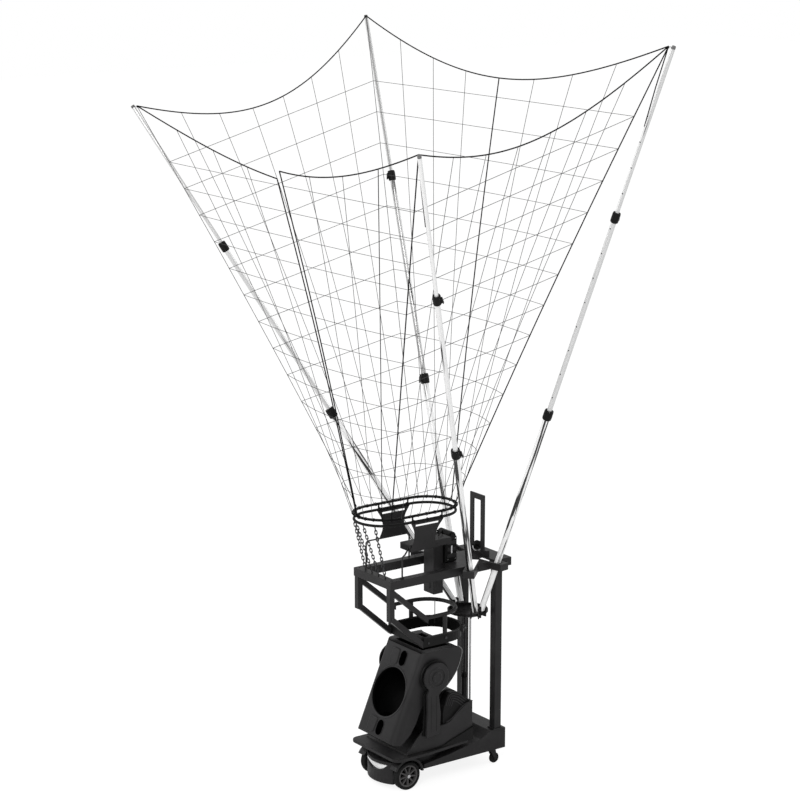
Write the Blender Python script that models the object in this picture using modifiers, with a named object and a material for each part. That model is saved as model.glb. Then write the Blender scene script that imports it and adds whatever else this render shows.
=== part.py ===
"""A basketball shooting machine: wheeled base, turning and tilting shooter head, ball chute,
collecting ring and a catching net on four telescopic poles.

Metres, +Z up. The machine shoots towards -Y and is symmetric about X = 0. The origin is on the
floor under the middle of the net's top rim.
"""
import math

import bmesh
import bpy
from mathutils import Matrix, Vector

# Clearance between pieces that touch
GAP = 0.0003

# Base on its wheels
WHEEL_RADIUS = 0.085
WHEEL_WIDTH = 0.045
WHEEL_RIM_RADIUS = 0.066
TRACK_HALF = 0.187
AXLE_RADIUS = 0.010
CHASSIS_HALF_WIDTH = 0.190
CHASSIS_BOTTOM = 0.108
CHASSIS_REAR_Y = 0.716
CHASSIS_BLOCK_TOP = 0.235
CHASSIS_SLOPE = (0.530, 0.198)
CHASSIS_FRONT_Y = -0.045
NOSE_HALF_WIDTH = 0.136
NOSE_TOP = 0.165
NOSE_BOTTOM = 0.060
PEDESTAL_TOP = 0.190
PEDESTAL_RADIUS = 0.160
FENDER_CLEARANCE = 0.012
FENDER_WALL = 0.013
FENDER_INNER = WHEEL_RADIUS + FENDER_CLEARANCE
FENDER_OUTER = FENDER_INNER + FENDER_WALL
FENDER_LAP = 0.006
SKIRT_BULGE = 0.045
SKIRT_BOTTOM = 0.030
SKIRT_DEPTH_AT_ENDS = 0.028
CRESCENT_HALF_WIDTH = 0.100
CRESCENT_DROP = 0.046
CRESCENT_TOP = 0.146
CASTER_X = 0.130
CASTER_Y = 0.655
CASTER_TRAIL = 0.022
CASTER_WHEEL_RADIUS = 0.032
CASTER_WHEEL_WIDTH = 0.022
CASTER_PIN_RADIUS = 0.005
CHASSIS_WALL = 0.006
CHASSIS_RIB_Y = 0.306
CHASSIS_CAVITY_REAR_Y = 0.610
CHASSIS_CAVITY_FRONT_Y = 0.118
CHASSIS_CAVITY_FRONT_TOP = 0.129
CHASSIS_RIB_TOP = 0.151
NOSE_CAVITY_REAR_Y = 0.130
CUT_PAST = 0.100

# Shooter head's width, which the housing and the yoke arms stand clear of
HEAD_HALF_WIDTH = 0.190
HEAD_CLEARANCE = 0.013

# Turntable, housing and yoke
ARM_THICKNESS = 0.030
ARM_LEDGE = 0.002
HOUSING_HALF_WIDTH = HEAD_HALF_WIDTH + HEAD_CLEARANCE
TURN_Y = 0.165
BEARING_OUTER = 0.150
BEARING_INNER = 0.110
BEARING_HEIGHT = 0.015
DECK_HALF_WIDTH = HOUSING_HALF_WIDTH + ARM_THICKNESS + ARM_LEDGE
DECK_FRONT_Y = -0.126
DECK_REAR_Y = 0.456
DECK_THICKNESS = 0.017
HOUSING_WALL = 0.010
HOUSING_FLOOR = 0.012
COVER_WALL = 0.006
FIN_PITCH = 0.030
FIN_GROOVE = 0.005
FIN_DEPTH = 0.003
FIN_COUNT = 11
ARM_DISC_RADIUS = 0.088
ARM_COLUMN_WIDTH = 0.098
ARM_FOOT_Z = 0.312
TILT_Y = 0.172
TILT_Z = 0.672
TRUNNION_RADIUS = 0.024

# Shooter head
HEAD_WALL = 0.006
HEAD_SPLIT_DEPTH = 0.055
MUZZLE_RADIUS = 0.148
MUZZLE_Y = -0.009
MUZZLE_Z = 0.557
INLET_HALF_WIDTH = 0.135
INLET_FRONT_Y = 0.135
INLET_REAR_Y = 0.330
FLYWHEEL_RADIUS = 0.040
FLYWHEEL_WIDTH = 0.050
FLYWHEEL_OFFSET = 0.158
FLYWHEEL_DEPTH = 0.054
FLYWHEEL_SHAFT_RADIUS = 0.008

# Hopper and chute
HOPPER_HALF_WIDTH = 0.178
HOPPER_FRONT_Y = 0.115
HOPPER_ARC_Y = 0.300
HOPPER_BOTTOM = 0.850
HOPPER_TOP = 0.910
HOPPER_WALL = 0.006
CHUTE_TUBE = 0.034
CHUTE_X = 0.160
CHUTE_LEG_Y = -0.110
CHUTE_LEG_BOTTOM = 1.048
HOOP_TUBE_RADIUS = 0.0125
HOOP_Z = 1.022
HOOP_FRONT_Y = 0.150
HOOP_ARC_Y = 0.278
HOOP_POST_X = 0.168
HOOP_POST_Y = 0.275

# Upper frame, guide plate and posts
FRAME_TUBE = 0.050
POST_WALL = 0.003
FRAME_HALF_WIDTH = 0.187
FRAME_FRONT_Y = -0.128
FRAME_TOP = 1.294
GUIDE_FRONT_Y = 0.350
GUIDE_REAR_Y = 0.752
GUIDE_SHEET = 0.008
POST_Y = 0.660
COLUMN_HALF_WIDTH = 0.050
COLUMN_FRONT_Y = 0.280
COLUMN_BOTTOM = 1.110
COLUMN_TOP = 1.430
BEAM_X = (0.030, 0.130)
BEAM_FRONT_Y = 0.050
BEAM_HEIGHT = 0.040
DRIVE_HALF_WIDTH = 0.075
DRIVE_DEPTH = 0.088
DRIVE_TOP = 1.480
HANDLE_Y = 0.640
HANDLE_HALF_WIDTH = 0.068
HANDLE_BAR = 0.034
HANDLE_THICKNESS = 0.010
HANDLE_TOP = 1.660
PULLEY_RADIUS = 0.028
PULLEY_WIDTH = 0.020
PULLEY_SHAFT_RADIUS = 0.006
PULLEY_Z = 1.342

# Collecting ring over the chute
RING_HALF_WIDTH = 0.168
RING_FRONT_Y = -0.217
RING_REAR_Y = 0.435
RING_TUBE_RADIUS = 0.008
RING_Z = 1.655
RING_PITCH = 0.035
PANEL_THICKNESS = 0.006
PANEL_TOP_Y = (0.030, 0.262)
PANEL_WAIST_Y = (0.070, 0.222)
PANEL_FOOT_Y = (0.045, 0.247)
PANEL_RAIL_Z = 1.442
PANEL_RAIL_RADIUS = 0.005
PANEL_RAIL_Y = (-0.050, 0.260)
CHAIN_RADIUS = 0.0055
CHAIN_X = (-0.105, -0.035, 0.035, 0.105)

# Catching net on its four poles
PIN_X = 0.105
PIN_Z = 0.985
TIP_X = 1.412
TIP_Y = 0.832
FRONT_TIP_Z = 3.923
REAR_TIP_Z = 4.375
POLE_RADIUS = (0.0185, 0.0145, 0.0110)
PIN_TO_POST = 0.0195
PIN_ROOM = 0.015
REAR_PIN_Y = POST_Y - FRAME_TUBE / 2 - POLE_RADIUS[0] - PIN_TO_POST
FRONT_PIN_Y = REAR_PIN_Y - 2 * POLE_RADIUS[0] - PIN_ROOM
POLE_WALL = 0.0018
POLE_RUN_CLEARANCE = 0.0004
CLAMP_AT_LOWER = 1.380
CLAMP_AT_MIDDLE = (2.550, 2.650)
CLAMP_THICKNESS = 0.007
CLAMP_LENGTH = 0.052
SECTION_OVERLAP = 0.150
POLE_HEEL = 0.012
SLOT_CLEARANCE = 0.0025
BRACKET_HALF_WIDTH = 0.034
BRACKET_BOTTOM = 1.252
BRACKET_RIM = 0.032
PIVOT_RADIUS = 0.006
EAR_THICKNESS = 0.006
EAR_HALF_WIDTH = 0.013
HUB_RADIUS = 0.120
HUB_WALL = 0.006
HUB_BOTTOM = 0.925
HUB_RIM = 0.956
STRUT_X = -0.030
STRUT_RADIUS = 0.018
STRUT_ROD_RADIUS = 0.008
STRUT_TOP = 0.530
GUIDE_ROD_X = 0.0
GUIDE_ROD_Y = 0.592
GUIDE_ROD_RADIUS = 0.006
NET_CORD = 0.005
NET_ROWS = 8
NET_SIDE_CELLS = 5
NET_BACK_CELLS = 6
NET_FRONT_CELLS = 6
NET_SIDE_SAG = 0.260
NET_BACK_SAG = 0.290
NET_FRONT_SAG = 0.350
NET_CORNER_INSET = 0.030
NET_RING_CLEARANCE = 0.0070

# Switch and inlet on the base's rear face
SWITCH_X = 0.060
SWITCH_Z = 0.172
SWITCH_HALF = (0.011, 0.015)
SWITCH_DEPTH = 0.012
INLET_X = -0.060
INLET_HALF = (0.024, 0.014)

PARTS = "basketball_shooting_machine"
CUTTERS = "cutters"


def clear_scene():
    for item in list(bpy.data.objects):
        bpy.data.objects.remove(item)
    for name in (PARTS, CUTTERS):
        group = bpy.data.collections.new(name)
        bpy.context.scene.collection.children.link(group)


def material(name, colour, roughness, metallic=0.0):
    made = bpy.data.materials.new(name)
    made.use_nodes = True
    shader = made.node_tree.nodes["Principled BSDF"]
    shader.inputs["Base Color"].default_value = (*colour, 1.0)
    shader.inputs["Roughness"].default_value = roughness
    shader.inputs["Metallic"].default_value = metallic
    return made


def wrap(name, mesh):
    """An object for a mesh, in the parts collection."""
    item = bpy.data.objects.new(name, mesh)
    bpy.data.collections[PARTS].objects.link(item)
    return item


def as_cutter(item):
    bpy.data.collections[PARTS].objects.unlink(item)
    bpy.data.collections[CUTTERS].objects.link(item)
    item.hide_render = True
    item.display_type = "WIRE"


def cube_mesh(name, low, high):
    """A box as a mesh around its own centre, and that centre."""
    low, high = Vector(low), Vector(high)
    mesh = bpy.data.meshes.new(name)
    shape = bmesh.new()
    bmesh.ops.create_cube(shape, size=1.0)
    bmesh.ops.scale(shape, vec=high - low, verts=shape.verts)
    shape.to_mesh(mesh)
    shape.free()
    return mesh, (low + high) / 2


def box(name, low, high, bevel=0.0):
    mesh, centre = cube_mesh(name, low, high)
    item = wrap(name, mesh)
    item.location = centre
    if bevel:
        rounding = item.modifiers.new("rounded_edges", "BEVEL")
        rounding.width = bevel
        rounding.segments = 2
    return item


def rod(name, start, end, radius, sides=16, end_radius=None):
    """A round bar, or a cone, from start to end."""
    start, end = Vector(start), Vector(end)
    mesh = bpy.data.meshes.new(name)
    shape = bmesh.new()
    bmesh.ops.create_cone(
        shape, cap_ends=True, segments=sides, radius1=radius,
        radius2=radius if end_radius is None else end_radius, depth=(end - start).length,
    )
    shape.to_mesh(mesh)
    shape.free()
    item = wrap(name, mesh)
    item.location = (start + end) / 2
    item.rotation_euler = (end - start).to_track_quat("Z", "Y").to_euler()
    return item


def turned(name, profile, sides, centre=(0, 0, 0), axis="Z"):
    """A closed profile of (radius, height) points swept about the axis through the centre."""
    mesh = bpy.data.meshes.new(name)
    shape = bmesh.new()
    points = [shape.verts.new((radius, 0, height)) for radius, height in profile]
    closed = profile[0][0] > 0 or profile[-1][0] > 0
    for first, second in zip(points, points[1:] + points[:1] if closed else points[1:]):
        shape.edges.new((first, second))
    shape.to_mesh(mesh)
    shape.free()
    item = wrap(name, mesh)
    item.location = centre
    if axis == "X":
        item.rotation_euler = (0, math.pi / 2, 0)
    sweep = item.modifiers.new("turned", "SCREW")
    sweep.steps = sides
    sweep.render_steps = sides
    sweep.use_merge_vertices = True
    sweep.merge_threshold = 0.0001
    return item


def mesh_from_curve(item):
    """The closed mesh of a curve object, which it replaces."""
    graph = bpy.context.evaluated_depsgraph_get()
    mesh = bpy.data.meshes.new_from_object(item.evaluated_get(graph))
    shape = bmesh.new()
    shape.from_mesh(mesh)
    bmesh.ops.remove_doubles(shape, verts=shape.verts, dist=0.00001)
    bmesh.ops.recalc_face_normals(shape, faces=shape.faces)
    shape.to_mesh(mesh)
    shape.free()
    name, place = item.name, item.matrix_world.copy()
    bpy.data.objects.remove(item)
    solid = wrap(name, mesh)
    solid.matrix_world = place
    return solid


def plate(name, outline, low_x, high_x):
    """A flat outline of (y, z) points, thick along X."""
    curve = bpy.data.curves.new(name, "CURVE")
    curve.dimensions = "2D"
    curve.fill_mode = "BOTH"
    curve.extrude = (high_x - low_x) / 2
    line = curve.splines.new("POLY")
    line.points.add(len(outline) - 1)
    for point, (y, z) in zip(line.points, outline):
        point.co = (y, z, 0, 1)
    line.use_cyclic_u = True
    item = wrap(name, curve)
    item.matrix_world = Matrix(((0, 0, 1, (low_x + high_x) / 2), (1, 0, 0, 0), (0, 1, 0, 0), (0, 0, 0, 1)))
    bpy.context.view_layer.update()
    return mesh_from_curve(item)


def level_plate(name, outline, low_z, high_z):
    """A flat outline of (x, y) points, thick along Z."""
    item = plate(name, outline, low_z, high_z)
    item.matrix_world = Matrix.Translation((0, 0, (low_z + high_z) / 2))
    return item


def tube(name, points, radius, closed=False, resolution=2):
    curve = bpy.data.curves.new(name, "CURVE")
    curve.dimensions = "3D"
    curve.bevel_depth = radius
    curve.bevel_resolution = resolution
    curve.use_fill_caps = not closed
    line = curve.splines.new("POLY")
    line.points.add(len(points) - 1)
    for point, place in zip(line.points, points):
        point.co = (*place, 1)
    line.use_cyclic_u = closed
    item = wrap(name, curve)
    bpy.context.view_layer.update()
    return mesh_from_curve(item)


def combine(target, tool, operation):
    change = target.modifiers.new(operation.lower(), "BOOLEAN")
    change.operation = operation
    change.solver = "EXACT"
    change.object = tool
    as_cutter(tool)
    return target


def join(target, *others):
    for other in others:
        combine(target, other, "UNION")
    return target


def cut(target, *others):
    for other in others:
        combine(target, other, "DIFFERENCE")
    return target


def finish(item, finish_material, pivot=None):
    """Gives a piece its material, round shading and, when it moves, its joint's empty."""
    item.data.materials.clear()
    item.data.materials.append(finish_material)
    item.data.shade_smooth()
    item.data.set_sharp_from_angle(angle=math.radians(35))
    if pivot is not None:
        item.parent = pivot
        item.matrix_parent_inverse = PIVOT_PLACES[pivot.name].inverted()
    return item


PIVOT_PLACES = {}


def pivot_at(name, place, parent=None):
    """An empty on a joint's axis."""
    place = place if isinstance(place, Matrix) else Matrix.Translation(place)
    empty = bpy.data.objects.new(name, None)
    bpy.data.collections[PARTS].objects.link(empty)
    if parent is None:
        empty.matrix_world = place
    else:
        empty.parent = parent
        empty.matrix_local = PIVOT_PLACES[parent.name].inverted() @ place
    PIVOT_PLACES[name] = place
    return empty


def arc(centre, radius, start, end, steps):
    """Points on a circle, angles in degrees."""
    turns = [math.radians(start + (end - start) * step / steps) for step in range(steps + 1)]
    return [(centre[0] + radius * math.cos(turn), centre[1] + radius * math.sin(turn)) for turn in turns]


def inset(outline, distance):
    """The outline moved inwards, for a shape that runs anticlockwise."""
    moved = []
    for before, here, after in zip(outline[-1:] + outline[:-1], outline, outline[1:] + outline[:1]):
        before, here, after = Vector(before), Vector(here), Vector(after)
        first = (here - before).normalized()
        second = (after - here).normalized()
        normals = [Vector((-side.y, side.x)) for side in (first, second)]
        bisector = (normals[0] + normals[1]).normalized()
        moved.append(tuple(here + bisector * distance / max(bisector.dot(normals[0]), 0.3)))
    return moved


def stadium(half_width, front, rear, steps):
    """A ring outline with round front and rear ends, anticlockwise from the right side."""
    rear_arc = arc((0, rear - half_width), half_width, 0, 180, steps)
    front_arc = arc((0, front + half_width), half_width, 180, 360, steps)
    return rear_arc + front_arc


clear_scene()
BLACK_STEEL = material("black_steel", (0.018, 0.018, 0.019), 0.38, 0.35)
FRAME_STEEL = material("frame_steel", (0.022, 0.021, 0.022), 0.42, 0.30)
HOUSING_PLASTIC = material("housing_plastic", (0.026, 0.025, 0.026), 0.48)
COVER_PLASTIC = material("cover_plastic", (0.010, 0.010, 0.010), 0.55)
RUBBER = material("rubber", (0.012, 0.012, 0.012), 0.80)
RIM_PLASTIC = material("rim_plastic", (0.030, 0.030, 0.030), 0.45)
WHITE_PLASTIC = material("white_plastic", (0.80, 0.80, 0.80), 0.35)
BRIGHT_STEEL = material("bright_steel", (0.55, 0.55, 0.56), 0.25, 0.95)
WHEEL_RUBBER = material("wheel_rubber", (0.035, 0.035, 0.035), 0.70)
POLE_ALUMINIUM = material("pole_aluminium", (0.82, 0.82, 0.83), 0.22, 0.85)
NET_NYLON = material("net_nylon", (0.030, 0.030, 0.032), 0.75)


def make_chassis():
    block_front = POST_Y - FRAME_TUBE / 2 - 0.030
    side = [
        (0.112, CHASSIS_BOTTOM), (CHASSIS_REAR_Y, CHASSIS_BOTTOM), (CHASSIS_REAR_Y, CHASSIS_BLOCK_TOP),
        (block_front, CHASSIS_BLOCK_TOP), CHASSIS_SLOPE, (0.300, 0.157), (0.112, 0.135),
    ]
    chassis = plate("chassis", side, -CHASSIS_HALF_WIDTH, CHASSIS_HALF_WIDTH)
    nose = [
        (CHASSIS_FRONT_Y, NOSE_BOTTOM), (0.060, NOSE_BOTTOM), (0.115, CHASSIS_BOTTOM + 0.004),
        (0.300, CHASSIS_BOTTOM + 0.004), (0.300, 0.150), (0.115, NOSE_TOP), (CHASSIS_FRONT_Y, NOSE_TOP),
    ]
    join(chassis, plate("chassis_nose", nose, -NOSE_HALF_WIDTH, NOSE_HALF_WIDTH))
    pedestal = rod("pedestal", (0, TURN_Y, CHASSIS_BOTTOM + 0.010), (0, TURN_Y, PEDESTAL_TOP), PEDESTAL_RADIUS, 40)
    join(chassis, pedestal)
    for side_sign in (-1, 1):
        band = arc((0, WHEEL_RADIUS), FENDER_OUTER, 8, 152, 12) + arc((0, WHEEL_RADIUS), FENDER_INNER, 152, 8, 12)
        inner, outer = sorted((side_sign * (NOSE_HALF_WIDTH - FENDER_LAP), side_sign * CHASSIS_HALF_WIDTH))
        join(chassis, plate(f"fender_{side_sign}", band, inner, outer))
    bore = rod("axle_bore", (-0.3, 0, WHEEL_RADIUS), (0.3, 0, WHEEL_RADIUS), AXLE_RADIUS + GAP, 20)
    cut(chassis, bore)
    hollow_chassis(chassis, block_front)
    half_x, half_z = SWITCH_HALF
    cut(chassis, box(
        "switch_pocket",
        (SWITCH_X - half_x - 0.0006, CHASSIS_REAR_Y - SWITCH_DEPTH, SWITCH_Z - half_z - 0.0012),
        (SWITCH_X + half_x + 0.0006, CHASSIS_REAR_Y + 0.02, SWITCH_Z + half_z + 0.0012),
    ))
    half_x, half_z = INLET_HALF
    cut(chassis, box(
        "inlet_pocket",
        (INLET_X - half_x, CHASSIS_REAR_Y - 0.020, SWITCH_Z - half_z),
        (INLET_X + half_x, CHASSIS_REAR_Y + 0.02, SWITCH_Z + half_z),
    ))
    return finish(chassis, BLACK_STEEL)


def hollow_chassis(chassis, block_front):
    """Cavities open to the floor, either side of a cross rib."""
    floor = CHASSIS_BOTTOM - CUT_PAST
    slope_y, slope_z = CHASSIS_SLOPE
    half = CHASSIS_HALF_WIDTH - CHASSIS_WALL
    rib_rear = CHASSIS_RIB_Y + CHASSIS_WALL
    rear = [
        (rib_rear, floor), (CHASSIS_CAVITY_REAR_Y, floor), (CHASSIS_CAVITY_REAR_Y, CHASSIS_BLOCK_TOP - CHASSIS_WALL),
        (block_front, CHASSIS_BLOCK_TOP - CHASSIS_WALL), (slope_y, slope_z - CHASSIS_WALL),
        (rib_rear, CHASSIS_RIB_TOP + 0.001),
    ]
    cut(chassis, plate("rear_cavity", rear, -half, half))
    front = [
        (CHASSIS_CAVITY_FRONT_Y, floor), (CHASSIS_RIB_Y, floor), (CHASSIS_RIB_Y, CHASSIS_RIB_TOP),
        (CHASSIS_CAVITY_FRONT_Y, CHASSIS_CAVITY_FRONT_TOP),
    ]
    cut(chassis, plate("front_cavity", front, -half, half))
    cut(chassis, rod(
        "pedestal_cavity", (0, TURN_Y, floor), (0, TURN_Y, PEDESTAL_TOP - CHASSIS_WALL),
        CHASSIS_RIB_Y - TURN_Y - CHASSIS_WALL, 40,
    ))
    nose_half = NOSE_HALF_WIDTH - 2 * CHASSIS_WALL
    cut(chassis, box(
        "nose_cavity", (-nose_half, CHASSIS_FRONT_Y + CHASSIS_WALL, NOSE_BOTTOM - CUT_PAST),
        (nose_half, NOSE_CAVITY_REAR_Y, NOSE_TOP - CHASSIS_WALL),
    ))


def crescent(half_width, drop, steps=10):
    """A half-moon outline of (x, z) points, flat side up."""
    radius = (half_width ** 2 + drop ** 2) / (2 * drop)
    half_angle = math.degrees(math.asin(half_width / radius))
    centre = (0, CRESCENT_TOP - drop + radius)
    return arc(centre, radius, 270 - half_angle, 270 + half_angle, steps)


def skirt_front(half_width, bulge, y_at_ends, steps=10):
    """The skirt's bulging front line as (x, y) points, from left to right."""
    radius = (half_width ** 2 + bulge ** 2) / (2 * bulge)
    half_angle = math.degrees(math.asin(half_width / radius))
    return arc((0, y_at_ends - bulge + radius), radius, 270 - half_angle, 270 + half_angle, steps)


def make_front_skirt():
    half = NOSE_HALF_WIDTH - FENDER_LAP - GAP
    ends_y = CHASSIS_FRONT_Y - SKIRT_DEPTH_AT_ENDS
    outline = skirt_front(half, SKIRT_BULGE, ends_y)
    outline += [(half, CHASSIS_FRONT_Y - GAP), (-half, CHASSIS_FRONT_Y - GAP)]
    skirt = level_plate("front_skirt", outline, SKIRT_BOTTOM, NOSE_TOP)
    pocket_line = crescent(CRESCENT_HALF_WIDTH, CRESCENT_DROP)
    pocket = plate("crescent_pocket", [(x, z) for x, z in pocket_line], -0.200, CHASSIS_FRONT_Y - 0.030)
    turn_outline_to_front(pocket, (-0.200 + CHASSIS_FRONT_Y - 0.030) / 2)
    cut(skirt, pocket)
    finish(skirt, HOUSING_PLASTIC)
    grip_line = inset(crescent(CRESCENT_HALF_WIDTH, CRESCENT_DROP), GAP * 2)
    grip_front, grip_back = CHASSIS_FRONT_Y - 0.052, CHASSIS_FRONT_Y - 0.030 - GAP
    grip = plate("front_grip", grip_line, grip_front, grip_back)
    turn_outline_to_front(grip, (grip_front + grip_back) / 2)
    finish(grip, WHITE_PLASTIC)


def turn_outline_to_front(item, y):
    """Turns a plate so that its outline is (x, z) and its thickness runs along Y."""
    item.matrix_world = Matrix(((1, 0, 0, 0), (0, 0, -1, y), (0, 1, 0, 0), (0, 0, 0, 1)))


def make_front_wheels():
    reach = TRACK_HALF + 0.003
    axle = rod("front_axle", (-reach, 0, WHEEL_RADIUS), (reach, 0, WHEEL_RADIUS), AXLE_RADIUS, 20)
    finish(axle, BRIGHT_STEEL)
    half = WHEEL_WIDTH / 2
    for name, sign in (("left", -1), ("right", 1)):
        centre = (sign * (TRACK_HALF - half), 0, WHEEL_RADIUS)
        pivot = pivot_at(f"wheel_{name}_axis", centre)
        tread = [
            (WHEEL_RIM_RADIUS, -half + 0.003), (WHEEL_RADIUS - 0.006, -half), (WHEEL_RADIUS, -half + 0.007),
            (WHEEL_RADIUS, half - 0.007), (WHEEL_RADIUS - 0.006, half), (WHEEL_RIM_RADIUS, half - 0.003),
        ]
        tyre = turned(f"wheel_{name}_tyre", tread[::-1], 32, centre, "X")
        finish(tyre, RUBBER, pivot)
        bore = AXLE_RADIUS + GAP
        seat = WHEEL_RIM_RADIUS - GAP
        section = [
            (bore, -half + 0.002), (0.020, -half + 0.002), (0.020, -0.006), (seat - 0.008, -0.006),
            (seat - 0.008, -half + 0.004), (seat, -half + 0.004), (seat, half - 0.004),
            (seat - 0.008, half - 0.004), (seat - 0.008, 0.006), (0.020, 0.006), (0.020, half - 0.002),
            (bore, half - 0.002),
        ]
        rim = turned(f"wheel_{name}_rim", section[::-1], 32, centre, "X")
        for step in range(8):
            angle = math.tau * (step + 0.37) / 8
            y, z = 0.041 * math.cos(angle), 0.041 * math.sin(angle)
            window = rod(f"window_{name}_{step}", (-0.02, y, z), (0.02, y, z), 0.0105, 8)
            window.location += Vector(centre)
            cut(rim, window)
        finish(rim, RIM_PLASTIC, pivot)


def make_casters():
    for name, sign in (("left", -1), ("right", 1)):
        x = sign * CASTER_X
        swivel = pivot_at(f"caster_{name}_swivel_axis", (x, CASTER_Y, CHASSIS_BOTTOM))
        axle = Vector((x, CASTER_Y + CASTER_TRAIL, CASTER_WHEEL_RADIUS))
        spin = pivot_at(f"caster_{name}_wheel_axis", axle, swivel)
        top = CHASSIS_BOTTOM - GAP
        fork = rod(f"caster_{name}_fork", (x, CASTER_Y, top - 0.022), (x, CASTER_Y, top), 0.026, 20)
        inner = CASTER_WHEEL_WIDTH / 2 + 0.0015
        leg = [
            (CASTER_Y - 0.020, top - 0.010), (CASTER_Y + 0.022, top - 0.010), (axle.y + 0.011, axle.z + 0.004),
            (axle.y + 0.006, axle.z - 0.010), (axle.y - 0.006, axle.z - 0.010), (axle.y - 0.013, axle.z + 0.008),
        ]
        crown = box(f"crown_{name}", (x - inner - 0.004, CASTER_Y - 0.019, top - 0.022), (x + inner + 0.004, CASTER_Y + 0.021, top - 0.008))
        join(fork, crown)
        for index, start in enumerate((x - inner - 0.004, x + inner)):
            join(fork, plate(f"leg_{name}_{index}", leg, start, start + 0.004))
        reach = Vector((inner + 0.007, 0, 0))
        join(fork, rod(f"caster_pin_{name}", axle - reach, axle + reach, CASTER_PIN_RADIUS, 12))
        finish(fork, BLACK_STEEL, swivel)
        bore, half, outer = CASTER_PIN_RADIUS + GAP, CASTER_WHEEL_WIDTH / 2, CASTER_WHEEL_RADIUS
        section = [
            (bore, half), (outer - 0.004, half), (outer, half - 0.005),
            (outer, -half + 0.005), (outer - 0.004, -half), (bore, -half),
        ]
        wheel = turned(f"caster_{name}_wheel", section, 24, axle, "X")
        finish(wheel, RUBBER, spin)


def make_turntable():
    turn = pivot_at("turntable_axis", (0, TURN_Y, PEDESTAL_TOP))
    low, high = PEDESTAL_TOP + GAP, PEDESTAL_TOP + BEARING_HEIGHT
    ring = [(BEARING_OUTER, high), (BEARING_OUTER, low), (BEARING_INNER, low), (BEARING_INNER, high)]
    finish(turned("turntable_bearing", ring, 40, (0, TURN_Y, 0)), BRIGHT_STEEL)
    deck_low = high + GAP
    deck_high = deck_low + DECK_THICKNESS
    corner = 0.045
    outline = arc((DECK_HALF_WIDTH - corner, DECK_FRONT_Y + corner), corner, 270, 360, 5)
    outline += [(DECK_HALF_WIDTH, 0.120)]
    outline += arc((HOUSING_HALF_WIDTH - 0.060, DECK_REAR_Y - 0.060), 0.060, 0, 90, 5)
    outline += [(-x, y) for x, y in reversed(outline)]
    deck = level_plate("turntable_deck", outline, deck_low, deck_high)
    finish(deck, BLACK_STEEL, turn)
    make_housing(turn, deck_high + GAP)
    return turn


def make_housing(turn, bottom):
    side = [
        (-0.030, bottom), (DECK_REAR_Y - 0.030, bottom), (DECK_REAR_Y, bottom + 0.040), (DECK_REAR_Y, 0.464),
        (0.406, 0.449), (0.347, 0.411), (0.290, 0.366), (0.255, 0.357), (0.095, 0.352), (0.048, 0.310),
    ]
    housing = plate("lower_housing", side, -HOUSING_HALF_WIDTH, HOUSING_HALF_WIDTH)
    inner_x = HOUSING_HALF_WIDTH - HOUSING_WALL
    hollow = [
        (-0.200, bottom + HOUSING_FLOOR), (DECK_REAR_Y - 0.035, bottom + HOUSING_FLOOR),
        (DECK_REAR_Y - HOUSING_WALL, bottom + 0.044), (DECK_REAR_Y - HOUSING_WALL, 0.700), (-0.200, 0.700),
    ]
    cut(housing, plate("housing_hollow", hollow, -inner_x, inner_x))
    finish(housing, HOUSING_PLASTIC, turn)
    half = inner_x - GAP
    base = bottom + HOUSING_FLOOR + GAP
    rear = DECK_REAR_Y - HOUSING_WALL - GAP
    outer = [
        (0.245, base), (rear - 0.030, base), (rear, 0.275), (rear, 0.455), (0.420, 0.482), (0.395, 0.503),
        (0.370, 0.522), (0.343, 0.535), (0.318, 0.542), (0.297, 0.541), (0.280, 0.528), (0.268, 0.505),
        (0.255, 0.470), (0.245, 0.420),
    ]
    cover = plate("ribbed_cover", outer, -half, half)
    core = [(y, z) for y, z in inset(outer, COVER_WALL)]
    core[0] = (core[0][0], 0.200)
    core[1] = (core[1][0] - 0.010, 0.200)
    cut(cover, plate("cover_hollow", core, -half + COVER_WALL, half - COVER_WALL))
    band = inset(outer, -0.010)[3:13] + inset(outer, FIN_DEPTH)[4:12][::-1]
    for index in range(FIN_COUNT):
        x = (index - (FIN_COUNT - 1) / 2) * FIN_PITCH
        cut(cover, plate(f"groove_{index}", band, x - FIN_GROOVE / 2, x + FIN_GROOVE / 2))
    finish(cover, COVER_PLASTIC, turn)


def arm_outline():
    """The yoke arm's lollipop shape: a disc on a column."""
    half = ARM_COLUMN_WIDTH / 2
    column_y = 0.146
    top = arc((TILT_Y, TILT_Z), ARM_DISC_RADIUS, -42, 232, 22)
    left = [(column_y - half + 0.006, 0.575), (column_y - half + 0.008, 0.470), (column_y - half, ARM_FOOT_Z)]
    right = [(column_y + half, ARM_FOOT_Z + 0.012), (column_y + half + 0.006, 0.446), (column_y + half - 0.008, 0.560)]
    return top + left + right


def make_arms(turn):
    inner = HOUSING_HALF_WIDTH + GAP
    for name, sign in (("left", -1), ("right", 1)):
        low, high = sorted((sign * inner, sign * (inner + ARM_THICKNESS)))
        arm = plate(f"yoke_arm_{name}", arm_outline(), low, high)
        stub = rod(
            f"trunnion_{name}", (sign * (HEAD_HALF_WIDTH - HEAD_WALL - 0.004), TILT_Y, TILT_Z),
            (sign * (inner + 0.010), TILT_Y, TILT_Z), TRUNNION_RADIUS, 24,
        )
        cap = rod(
            f"hub_cap_{name}", (sign * (inner + ARM_THICKNESS - 0.008), TILT_Y, TILT_Z),
            (sign * (inner + ARM_THICKNESS + 0.008), TILT_Y, TILT_Z), 0.032, 24, 0.028,
        )
        join(arm, stub, cap)
        finish(arm, HOUSING_PLASTIC, turn)


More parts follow.
